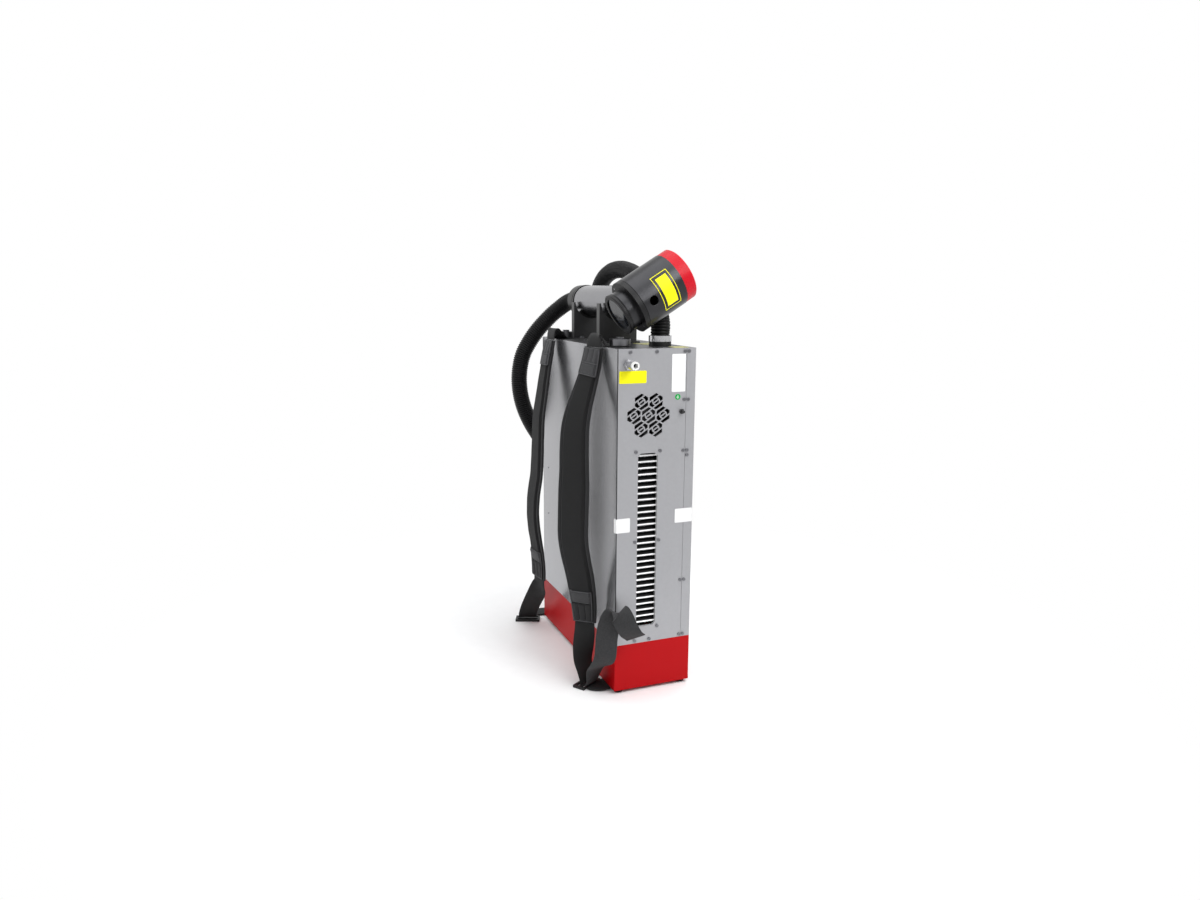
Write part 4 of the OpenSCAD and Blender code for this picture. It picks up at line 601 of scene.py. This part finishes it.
REAR_PAD = [(-82, 117, 598, 88), (-85.5, 117, 580, 88), (-91, 117, 553, 88), (-96.5, 117, 520, 88),
            (-102, 117, 485, 88), (-107.5, 117, 450, 88), (-109.5, 117, 410, 88), (-111, 117, 370, 88),
            (-113.5, 117, 330, 88), (-119.5, 117, 290, 88), (-121.5, 117, 252, 88), (-119, 117, 218, 87),
            (-114.5, 117, 188, 86), (-111.5, 117, 164, 84), (-109.5, 117.5, 138, 81),
            (-108.5, 119.5, 114, 77)]
REAR_LOW = [(-108.45, 119.65, 113.3, 77), (-108.1, 120.9, 100, 75), (-108, 127, 88, 60),
            (-108.8, 140, 71, 44), (-110.2, 157, 52, 34), (-111.8, 178, 27, 27), (-111.8, 192, 8, 24),
            (-111, 194, 0.5, 22)]
REAR_FLOOR = [(-105.6, 207.4, -3.6, 22), (-103.3, 213, -3.6, 24), (-96.5, 221, -3.4, 50),
              (-84, 226, -3.2, 84), (-68, 222.5, -2.6, 110), (-50, 215, -1.5, 120), (-32, 205, -1.1, 128),
              (-17, 195, -1.1, 128)]
# each pad's width at the points of its line, as shares of its full width
FRONT_SHARES = [0.68, 0.72, 0.76, 0.83, 0.9, 0.94, 0.95, 0.96, 1, 1, 1, 1, 0.99, 0.96, 0.9, 0.8, 0.68]
REAR_SHARES = [0.68, 0.7, 0.74, 0.8, 0.88, 0.92, 0.94, 0.96, 1, 1, 1, 1, 0.98, 0.94, 0.86, 0.72]


class Strap:
    """A strap's centre line in metres, with its width and face directions at each point."""

    def __init__(self, route, steps):
        dense = smooth(route, steps)
        self.points = [Vector(p[:3]) * MM for p in dense]
        wide = [math.radians(p[3]) for p in dense]
        t = headings(self.points)
        self.x = [square_to(Vector((math.cos(a), -math.sin(a), 0)), ahead) for a, ahead in zip(wide, t)]
        self.y = [ahead.cross(x) for ahead, x in zip(t, self.x)]
        self.run = running_length(self.points)

    def at(self, s):
        """Point, width and face direction at a distance along the line, in metres."""
        j = max(i for i, r in enumerate(self.run[:-1]) if r <= s + SLACK) if s > 0 else 0
        share = (s - self.run[j]) / max(self.run[j + 1] - self.run[j], TINY)
        return tuple(row[j].lerp(row[j + 1], share) for row in (self.points, self.x, self.y))


def webbing(name, route, material, replaced):
    """Flat woven strap with rounded selvedges."""
    s = Strap(route, WEB_STEPS)
    w, h = WEB_W / 2 * MM, WEB_T / 2 * MM
    inward, outward = SELVEDGE_SHARES[0] * h, SELVEDGE_SHARES[1] * h
    half = [(-w, 0), (-w + inward, -outward), (-w + h, -h), (-w / 2, -h), (0, -h), (w / 2, -h), (w - h, -h),
            (w - inward, -outward)]
    form = half + [(-a, -b) for a, b in half]
    rings = [[p + a * x + b * y for a, b in form] for p, x, y in zip(s.points, s.x, s.y)]
    obj = loft(name, rings, s.run)
    finish_piece(obj, "case", material, smooth_angle=40)
    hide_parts(replaced)


PAD_W = 62.0
PAD_T = 13.0
PAD_STEPS = 10
PAD_DENSE = 44
# across the pad: the flat border's share of the thickness, where the foam ends, and its crown
BORDER_SHARE = 0.26
FOAM_SHARES = (0.68, 0.78)
CROWN_SHARE = 0.16
# along it: the ends thin out over so many metres to a share of the thickness, and so does the band
END_L = 0.03
END_SHARE = 0.55
BAND_THIN_SHARE = 0.4
# soft wrinkles: their share of the thickness, and what the distance is divided by in their two waves
WRINKLE_SHARE = 0.03
WRINKLES = (0.021, 0.0075)
WRINKLE_START = 1.3

# distances along the pad in metres: the sewn patch at its top, the band and the three-cell tab at its end
PATCH_MID = 0.028
PATCH_END = 0.049
PATCH_SPLIT = 0.0006
BAND_L = 0.023
TAB_L = 0.037
TAB_SPLIT = 0.0005
COVER_END = 0.001
PIPING_END = 0.002
# their sides, as shares of half the pad's width
PATCH_SIDES = (-0.9, 0.9)
BAND_SIDES = (-0.92, 0.76)
# the least height that they lie at, as shares of half the pad's thickness
PATCH_FLOOR_SHARE = 0.6
BAND_FLOOR_SHARE = 0.4
# thickness and crown of each cover's cloth, in mm
TOP_CLOTH = (0.9, 1.3)
LOW_CLOTH = (1.3, 0.5)
BAND_CLOTH = (1.3, 1.8)
TAB_CLOTH = (0.7, 1.8)


def ease(a, b, v):
    """A soft step from 0 at a to 1 at b."""
    t = min(max((v - a) / (b - a), 0), 1)
    return t * t * (3 - 2 * t)


class Pad(Strap):
    """A padded strap: its line with a width at each point and a crowned face."""

    def __init__(self, route, shares):
        super().__init__(route, PAD_STEPS)
        self.total = self.run[-1]
        self.wide = [v[0] for v in smooth([(s, 0, 0) for s in shares], PAD_STEPS)]
        self.band_start = self.total - TAB_L - BAND_L
        self.band_end = self.total - TAB_L

    def width(self, d):
        """Half the width at a distance along the pad, in metres."""
        k = min(max(d / self.total, 0), 1) * (len(self.wide) - 1)
        i = min(int(k), len(self.wide) - 2)
        return (self.wide[i] + (self.wide[i + 1] - self.wide[i]) * (k - i)) * PAD_W / 2 * MM

    def height(self, u, d):
        """How far the face stands from the middle, u being a share of half the width."""
        end = END_SHARE + (1 - END_SHARE) * ease(0, END_L, d) * ease(0, END_L, self.total - d)
        end *= 1 - BAND_THIN_SHARE * ease(self.band_start, self.band_end, d)
        foam = (1 - ease(*FOAM_SHARES, abs(u))) * (1 - CROWN_SHARE * u * u)
        waves = math.sin(d / WRINKLES[0] + WRINKLE_START) * math.sin(d / WRINKLES[1])
        return PAD_T / 2 * MM * (BORDER_SHARE + (1 - BORDER_SHARE) * foam) * end * (1 + WRINKLE_SHARE * waves)

    def on_face(self, u, d, lift):
        """A point over the pad, lifted so many metres from its middle."""
        p, x, y = self.at(d)
        return p + u * self.width(d) * x + lift * y

    def rings(self):
        across = [-1 + 2 * (k + 0.5) / PAD_DENSE for k in range(PAD_DENSE)]
        out = []
        for p, x, y, d in zip(self.points, self.x, self.y, self.run):
            face = [(u * self.width(d) * x, self.height(u, d) * y) for u in across]
            out.append([p + side + up for side, up in face] + [p + side - up for side, up in face[::-1]])
        return out


TAPE_W = 3.2 * MM
TAPE_H = 2.3 * MM
TAPE_INSET = 1.5 * MM
TAPE_SIDES = 12


def edge_tape(name, s, side):
    """Folded tape sewn round the pad's side edge."""
    rings = []
    for p, x, y, d in zip(s.points, s.x, s.y, s.run):
        c = p + side * (s.width(d) - TAPE_INSET) * x
        ring = [c + side * TAPE_W * math.cos(a) * x + TAPE_H * math.sin(a) * y for a in turns(TAPE_SIDES)]
        rings.append(ring if side > 0 else ring[::-1])
    finish_piece(loft(name, rings, s.run), "case", edge_cloth, smooth_angle=40)


# a sewn cord is this much thinner where it dips into the cloth
DIP_SHARE = 0.45


def sewn_cords(name, lines, radius, sides, material, flat=1.0):
    """Closed round cords along lines of (point, face) pairs, in one mesh; flat presses them to the cloth."""
    points, faces = [], []
    for line in lines:
        first, last = len(points), len(line) - 1
        for i, ((p, face), t) in enumerate(zip(line, headings([p for p, face in line]))):
            y = square_to(face, t)
            x = t.cross(y)
            r = radius * MM * (DIP_SHARE if i in (0, last) else 1)
            points += [p + r * math.cos(a) * x + r * flat * math.sin(a) * y for a in turns(sides)]
        faces += ring_faces(len(line), sides, first) + cap_faces(len(line), sides, first)
    finish_piece(mesh_object(name, points, faces), "case", material, smooth_angle=60)


# one stitch, the gap to the next and the thread's radius, in mm
STITCH = 2.6
STITCH_GAP = 1.3
STITCH_R = 0.42
STITCH_SIDES = 6
STITCH_CUTS = 3
# where the rows run: shares of half the width, and distances in metres from the ends of what they hold
PATCH_ROWS = (-0.8, 0.8)
PATCH_ROW_SIDES = (-0.75, 0.75)
PAD_ROWS = (-0.87, 0.87)
BAND_ROW_SIDES = (-0.85, 0.7)
END_IN = 0.005
MID_IN = 0.002
ROW_IN = 0.003
PAD_IN = 0.004
# how far the thread stands over each cloth, in mm
OVER_PATCH = 1.6
ACROSS_PATCH = 1.7
OVER_PAD = 0.15
OVER_BAND = 2.6
OVER_TAB = 1.6


def along_row(s, share, start, end, lift):
    """Stitches parallel to the strap's edge: short cords lying on the cloth."""
    rows = []
    d = start
    while d < end:
        line = [d + k * STITCH / STITCH_CUTS * MM for k in range(STITCH_CUTS + 1)]
        rows.append([(s.on_face(share, v, lift(share, v)), s.at(v)[2]) for v in line])
        d += (STITCH + STITCH_GAP) * MM
    return rows


def across_row(s, d, low, high, lift):
    """Stitches across the strap."""
    count = max(int((high - low) * s.width(d) / ((STITCH + STITCH_GAP) * MM)), 1)
    step = (high - low) / count
    long = STITCH * MM / s.width(d)
    rows = []
    for middle in (low + step * (k + 0.5) for k in range(count)):
        line = [middle + long * (j / STITCH_CUTS - 0.5) for j in range(STITCH_CUTS + 1)]
        rows.append([(s.on_face(u, d, lift(u, d)), s.at(d)[2]) for u in line])
    return rows


RIM_STEPS = 16
PIPING_R = 0.95
PIPING_SIDES = 10
PIPING_FLAT = 0.8
# how far the piping stands over the patch and over the band, in mm
PIPING_LIFTS = (1.3, 1.4)


def rim_along(s, share, start, end, lift):
    """A line of piping parallel to the strap's edge."""
    line = [start + (end - start) * k / RIM_STEPS for k in range(RIM_STEPS + 1)]
    return [(s.on_face(share, d, lift(share, d)), s.at(d)[2]) for d in line]


def rim_across(s, d, low, high, lift):
    """A line of piping across the strap."""
    line = [low + (high - low) * k / RIM_STEPS for k in range(RIM_STEPS + 1)]
    return [(s.on_face(u, d, lift(u, d)), s.at(d)[2]) for u in line]


COVER_DENSE = 36
COVER_STEPS = 14
COVER_FOOT = 0.8
# the cloth's edge is this share of its thickness, and it rises over these shares of its length and width
HEM_SHARE = 0.35
HEM_RISE_SHARES = (0.08, 0.04)


def cover(name, s, ends, sides, lift, cloth, material, cells=1):
    """Sewn-on cloth over the pad's outer face between two shares of its width, plain or in padded cells."""
    start, end = ends
    low, high = sides
    thick, crown = cloth
    rise_along, rise_across = HEM_RISE_SHARES
    rings, run = [], []
    for i in range(COVER_STEPS + 1):
        d = start + (end - start) * i / COVER_STEPS
        along = ease(0, rise_along, i / COVER_STEPS) * ease(0, rise_along, 1 - i / COVER_STEPS)
        top, foot = [], []
        for k in range(COVER_DENSE + 1):
            v = k / COVER_DENSE
            u = low + (high - low) * v
            cell = abs(math.sin(math.pi * cells * v)) ** 0.5
            side = ease(0, rise_across, v) * ease(0, rise_across, 1 - v)
            up = thick * (HEM_SHARE + (1 - HEM_SHARE) * side * along) + crown * cell * along
            top.append(s.on_face(u, d, lift(u, d) + up * MM))
            foot.append(s.on_face(u, d, lift(u, d) - COVER_FOOT * MM))
        rings.append(top + foot[::-1])
        run.append(d)
    finish_piece(loft(name, rings, run), "case", material, smooth_angle=50)


def raised(lift, by):
    """The same surface, so many mm further out."""
    return lambda u, d: lift(u, d) + by * MM


def strap_pad(prefix, route, shares, replaced):
    """One pad with its edge tapes, sewn covers, piping and stitches."""
    s = Pad(route, shares)
    pad = loft(prefix + "_pad", s.rings(), s.run)
    finish_piece(pad, "case", pad_mesh, smooth_angle=40)
    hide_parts(replaced)
    edge_tape(prefix + "_pad_tape_a", s, 1)
    edge_tape(prefix + "_pad_tape_b", s, -1)

    # the covers span the dip at the pad's edges, so each lies on a floor of its own
    def floor_of(share):
        return lambda u, d: max(s.height(u, d), PAD_T / 2 * MM * share)

    patch, band = floor_of(PATCH_FLOOR_SHARE), floor_of(BAND_FLOOR_SHARE)
    top, low = (COVER_END, PATCH_MID), (PATCH_MID + PATCH_SPLIT, PATCH_END)
    tab = (s.band_end + TAB_SPLIT, s.total - COVER_END)
    cover(prefix + "_patch_top", s, top, PATCH_SIDES, patch, TOP_CLOTH, patch_cloth, cells=3)
    cover(prefix + "_patch_low", s, low, PATCH_SIDES, patch, LOW_CLOTH, patch_cloth)
    cover(prefix + "_band", s, (s.band_start, s.band_end), BAND_SIDES, band, BAND_CLOTH, patch_cloth)
    cover(prefix + "_tab", s, tab, BAND_SIDES, band, TAB_CLOTH, edge_cloth, cells=3)

    on_patch, on_band = (raised(part, by) for part, by in zip((patch, band), PIPING_LIFTS))
    tab_end = s.total - PIPING_END
    rims = [rim_along(s, u, PIPING_END, PATCH_END, on_patch) for u in PATCH_SIDES]
    rims += [rim_across(s, d, *PATCH_SIDES, on_patch) for d in (PATCH_MID, PATCH_END)]
    rims += [rim_along(s, u, s.band_start, tab_end, on_band) for u in BAND_SIDES]
    rims += [rim_across(s, d, *BAND_SIDES, on_band) for d in (s.band_start, tab_end)]
    sewn_cords(prefix + "_piping", rims, PIPING_R, PIPING_SIDES, piping_cloth, flat=PIPING_FLAT)

    rows = []
    for share in PATCH_ROWS:
        rows += along_row(s, share, END_IN, PATCH_MID - MID_IN, raised(patch, OVER_PATCH))
        rows += along_row(s, share, PATCH_MID + ROW_IN, PATCH_END - ROW_IN, raised(patch, OVER_PATCH))
    for d in (PATCH_MID + ROW_IN, PATCH_END - ROW_IN):
        rows += across_row(s, d, *PATCH_ROW_SIDES, raised(patch, ACROSS_PATCH))
    for share in PAD_ROWS:
        rows += along_row(s, share, PATCH_END + PAD_IN, s.band_start - ROW_IN, raised(s.height, OVER_PAD))
    rows += across_row(s, s.band_start + ROW_IN, *BAND_ROW_SIDES, raised(band, OVER_BAND))
    rows += across_row(s, s.total - END_IN, *BAND_ROW_SIDES, raised(band, OVER_TAB))
    sewn_cords(prefix + "_stitching", rows, STITCH_R, STITCH_SIDES, thread_grey)


strap_pad("front", FRONT_PAD, FRONT_SHARES, "strap_pad_front")
strap_pad("rear", REAR_PAD, REAR_SHARES, "strap_pad_rear")
for end, routes in (("front", (FRONT_TOP, FRONT_LOW, FRONT_FLOOR)),
                    ("rear", (REAR_TOP, REAR_LOW, REAR_FLOOR))):
    for part, route in zip(("top", "low", "floor"), routes):
        webbing(f"{end}_webbing_{part}", route, strap_black, "webbing_" + end)
webbing("loose_webbing_tail", TAIL, strap_grey, "webbing_tail")

# labels and small fittings

FACE_Y = -196.5
SIDE_X = -72.5
LID_Z = 600.0
LABEL_T = 0.35
# how far a label or mark is sunk into what carries it
SUNK = 0.05

# blank labels on the vent face: left, low, right, high and the corners' radius
for name, x0, z0, x1, z1, corner, film in (("yellow_label", -69.0, 542.8, -19.6, 563.5, 2.0, yellow_film),
                                           ("white_label_top", 27.6, 526, 53.0, 590, 1.5, white_film),
                                           ("white_label_right", 38.5, 296, 72.0, 321, 1.5, white_film),
                                           ("white_label_left", -72.4, 287.5, -46.7, 312.5, 1.5, white_film)):
    plate(name, (x0, FACE_Y - LABEL_T, z0), (x1, FACE_Y + SUNK, z1), corner, 1, film)
# a dark strip on the vent face at the corner: painted shade of the seam's gap
plate("corner_seam_painted_shade", (-72.45, FACE_Y - 0.12, 76), (-70.9, FACE_Y + SUNK, 599.6), 0.2, 1, seam_painted_shade)
plate("white_label_wrap", (SIDE_X - LABEL_T, -196.4, 287.5), (SIDE_X + SUNK, -188.5, 312.5), 1.5, 0,
      white_film)

# rotations that lay a disc's axis along Y and along X
FACE_TURN = (math.pi / 2, 0, 0)
SIDE_TURN = (0, math.pi / 2, 0)

# the earth mark: its centre, the depth of its bars and half their width
EARTH_X, EARTH_Z = 39.4, 517.2
MARK_NEAR, MARK_FAR = FACE_Y - 0.5, FACE_Y - 0.3
MARK_HALF = 0.3
disc("earth_dot", mm(EARTH_X, FACE_Y - LABEL_T / 2, EARTH_Z), 5.0, LABEL_T, FACE_TURN, "case", green_film)
for i, (width, drop) in enumerate(((5.0, -0.2), (3.2, -1.4), (1.5, -2.6))):
    z = EARTH_Z + drop
    plate(f"earth_bar_{i}", (EARTH_X - width / 2, MARK_NEAR, z - MARK_HALF),
          (EARTH_X + width / 2, MARK_FAR, z + MARK_HALF), 0.1, 1, white_film)
plate("earth_bar_stem", (EARTH_X - MARK_HALF, MARK_NEAR, EARTH_Z - 0.2),
      (EARTH_X + MARK_HALF, MARK_FAR, EARTH_Z + 3.4), 0.1, 1, white_film)

# two rivets and a screw on the wearer's face
for i, (y, z, r) in enumerate(((165.5, 332, 1.6), (165.5, 235, 1.6), (-42.8, 594.6, 2.6))):
    disc(f"side_rivet_{i}", mm(SIDE_X - 0.3, y, z), r, 0.9, SIDE_TURN, "case", zinc_steel,
         bevel=0.25)

# blank labels on the lid, in front of the gland and behind it
for name, x0, y0, x1, y1 in (("lid_label_front", 34, -192, 62, -166), ("lid_label_rear", 14, -112, 62, -60)):
    plate(name, (x0, y0, LID_Z - SUNK), (x1, y1, LID_Z + LABEL_T), 1.5, 2, pale_film)

# gun details

HEAD_AT = mm(-26, -166, 674.6)
HEAD_LIFT = math.radians(31.5)
HEAD_AXIS = Vector((math.cos(HEAD_LIFT), 0, math.sin(HEAD_LIFT)))
HEAD_X = Vector((math.sin(HEAD_LIFT), 0, -math.cos(HEAD_LIFT)))
HEAD_Y = Vector((0, 1, 0))
HEAD_R = 46.6
BARREL_R = 34.75


def on_head(t, turn, r):
    """A point on the gun head: along its axis, round it in degrees, and out from it, in mm."""
    a = math.radians(turn)
    return HEAD_AT + (HEAD_AXIS * t + (HEAD_X * math.cos(a) + HEAD_Y * math.sin(a)) * r) * MM


BENT_COLS = 2
BENT_ROWS = 18


def curved_label(name, t0, t1, turn0, turn1, high):
    """A yellow label bent round the gun head and standing so many mm proud, as a grid with thickness."""
    layer = (BENT_ROWS + 1) * (BENT_COLS + 1)
    points = [on_head(t0 + (t1 - t0) * j / BENT_COLS, turn0 + (turn1 - turn0) * i / BENT_ROWS, HEAD_R + lift)
              for lift in (-SUNK, high) for i in range(BENT_ROWS + 1) for j in range(BENT_COLS + 1)]

    def at(side, i, j):
        return side * layer + i * (BENT_COLS + 1) + j

    faces = []
    for i in range(BENT_ROWS):
        for j in range(BENT_COLS):
            faces.append([at(1, i, j), at(1, i, j + 1), at(1, i + 1, j + 1), at(1, i + 1, j)])
            faces.append([at(0, i, j), at(0, i + 1, j), at(0, i + 1, j + 1), at(0, i, j + 1)])
    for i in range(BENT_ROWS):
        faces += [[at(0, i, j), at(1, i, j), at(1, i + 1, j), at(0, i + 1, j)] for j in (0, BENT_COLS)]
    for j in range(BENT_COLS):
        faces += [[at(0, i, j), at(0, i, j + 1), at(1, i, j + 1), at(1, i, j)] for i in (0, BENT_ROWS)]
    obj = mesh_object(name, points, faces)
    select_only(obj)
    bpy.ops.object.mode_set(mode="EDIT")
    bpy.ops.mesh.select_all(action="SELECT")
    bpy.ops.mesh.normals_make_consistent(inside=False)
    bpy.ops.object.mode_set(mode="OBJECT")
    finish_piece(obj, "gun", yellow_film)


curved_label("gun_label", 31.5, 52.5, -121, -57, 0.25)
# a thin line round it: its ends along the head in mm and round it in degrees, and its width in both
NEAR, FAR = 25.5, 58.0
TURN_NEAR, TURN_FAR = -129, -49
LINE_W, LINE_TURN = 1.1, 1.4
for name, t0, t1, turn0, turn1 in (("low", NEAR, NEAR + LINE_W, TURN_NEAR, TURN_FAR),
                                   ("high", FAR - LINE_W, FAR, TURN_NEAR, TURN_FAR),
                                   ("left", NEAR, FAR, TURN_NEAR, TURN_NEAR + LINE_TURN),
                                   ("right", NEAR, FAR, TURN_FAR - LINE_TURN, TURN_FAR)):
    curved_label("gun_label_border_" + name, t0, t1, turn0, turn1, 0.2)

# cap screws of the flange, in their counterbores, between the barrel and the flange's rim
SCREWS = 6
SCREW_AT = -15.0
SCREW_TURN = HEAD_AXIS.to_track_quat("Z", "Y").to_euler()
for i in range(SCREWS):
    at = on_head(SCREW_AT, (i + 0.5) * 360 / SCREWS, (HEAD_R + BARREL_R) / 2)
    disc(f"flange_screw_{i}", at, 1.5, 2.0, SCREW_TURN, "gun", bright_steel, sides=20,
         bevel=0.3, segments=2)

# stage and light

FLOOR_Z = -0.006
FLOOR_SIZE = 30
# how far from the machine's middle the floor begins to fade and is white, in metres
FADE_START, FADE_END = 0.3, 1.0


def stage_material():
    """Pale studio floor that keeps the shadow and fades to white away from the machine."""
    m, tree, bsdf = start_material("studio_floor")
    place = add(tree, "TexCoord")
    grain = add(tree, "TexNoise", {"Vector": place.outputs["Object"], "Scale": per_mm(25), "Detail": 3.0})
    tint = add(tree, "Mix", {0: grain.outputs["Fac"], 6: linear("#EDEDED"), 7: linear("#F2F2F2")},
               data_type="RGBA")
    feed(tree, bsdf, {"Base Color": tint.outputs[2], "Roughness": 0.6})
    far = add(tree, "VectorMath", {0: place.outputs["Object"]}, operation="LENGTH")
    fade = add(tree, "MapRange", {"Value": far.outputs["Value"], "From Min": FADE_START,
                                  "From Max": FADE_END}, interpolation_type="SMOOTHSTEP")
    path = add(tree, "LightPath")
    seen = add(tree, "Math", {0: path.outputs["Is Camera Ray"], 1: path.outputs["Is Glossy Ray"]},
               operation="MAXIMUM")
    share = add(tree, "Math", {0: fade.outputs[0], 1: seen.outputs[0]}, operation="MULTIPLY")
    white = add(tree, "Emission", {"Color": (1, 1, 1, 1), "Strength": 1.0})
    mixed = add(tree, "MixShader", {0: share.outputs[0], 1: bsdf.outputs[0], 2: white.outputs[0]})
    feed(tree, tree.nodes["Material Output"], {"Surface": mixed.outputs[0]})
    return m


select_only()
bpy.ops.mesh.primitive_plane_add(size=FLOOR_SIZE, location=(0, 0, FLOOR_Z))
floor = bpy.context.object
floor.name = "floor"
floor.data.materials.append(stage_material())

world = bpy.data.worlds.new("studio")
bpy.context.scene.world = world
world.use_nodes = True
sky = world.node_tree
path = add(sky, "LightPath")
seen = add(sky, "Math", {0: path.outputs["Is Camera Ray"], 1: path.outputs["Is Transmission Ray"]},
           operation="MAXIMUM")
# glossy surfaces show the white backdrop that stands behind the machine
ray = add(sky, "TexCoord")
parts = add(sky, "SeparateXYZ", {0: ray.outputs["Generated"]})
behind = add(sky, "MapRange", {"Value": parts.outputs["Y"], "From Min": 0.1, "From Max": 0.7},
             interpolation_type="SMOOTHSTEP")
mirrored = add(sky, "Math", {0: path.outputs["Is Glossy Ray"], 1: behind.outputs[0]}, operation="MULTIPLY")
shown = add(sky, "Math", {0: seen.outputs[0], 1: mirrored.outputs[0]}, operation="MAXIMUM")
# the room is dim at eye level and bright overhead
glow = add(sky, "MapRange", {"Value": parts.outputs["Z"], "From Min": 0.1, "From Max": 0.85, "To Min": 0.3,
                             "To Max": 1.3}, interpolation_type="SMOOTHSTEP")
soft = sky.nodes["Background"]
feed(sky, soft, {"Color": (0.95, 0.96, 0.97, 1), "Strength": glow.outputs[0]})
paper = add(sky, "Background", {"Color": (1, 1, 1, 1), "Strength": 1.0})
both = add(sky, "MixShader", {0: shown.outputs[0], 1: soft.outputs[0], 2: paper.outputs[0]})
feed(sky, sky.nodes["World Output"], {"Surface": both.outputs[0]})


def soft_light(name, at, target, size, power):
    """A rectangular lamp, in metres and watts, that faces its target."""
    data = bpy.data.lights.new(name, "AREA")
    data.shape = "RECTANGLE"
    data.size, data.size_y = size
    data.energy = power
    lamp = bpy.data.objects.new(name, data)
    bpy.context.scene.collection.objects.link(lamp)
    lamp.location = at
    lamp.rotation_euler = (Vector(target) - Vector(at)).to_track_quat("-Z", "Y").to_euler()


soft_light("top_box", (0.2, -0.2, 2.4), (0, 0, 0.4), (2.0, 2.0), 20)
soft_light("front_box", (0.45, -1.05, 1.3), (0, -0.2, 0.62), (0.7, 0.7), 10)
soft_light("left_box", (-1.8, 1.7, 1.3), (-0.07, 0, 0.35), (1.2, 1.6), 8)

# a narrow upright black flag by the rear strap: blurred in the cover, it is the dark band by the front one
FLAG_AT = (-0.16, 0.1, 0.33)
FLAG_W, FLAG_H = 0.04, 0.64
select_only()
bpy.ops.mesh.primitive_plane_add(size=1, location=FLAG_AT, rotation=FACE_TURN)
flag = bpy.context.object
flag.name = "black_flag"
flag.scale = (FLAG_W, FLAG_H, 1)
bpy.ops.object.transform_apply(location=True, rotation=True, scale=True)
flag.data.materials.append(black_rubber)
flag.visible_camera = False
flag.visible_diffuse = False
flag.visible_shadow = False

scene = bpy.context.scene
scene.view_settings.view_transform = "Standard"
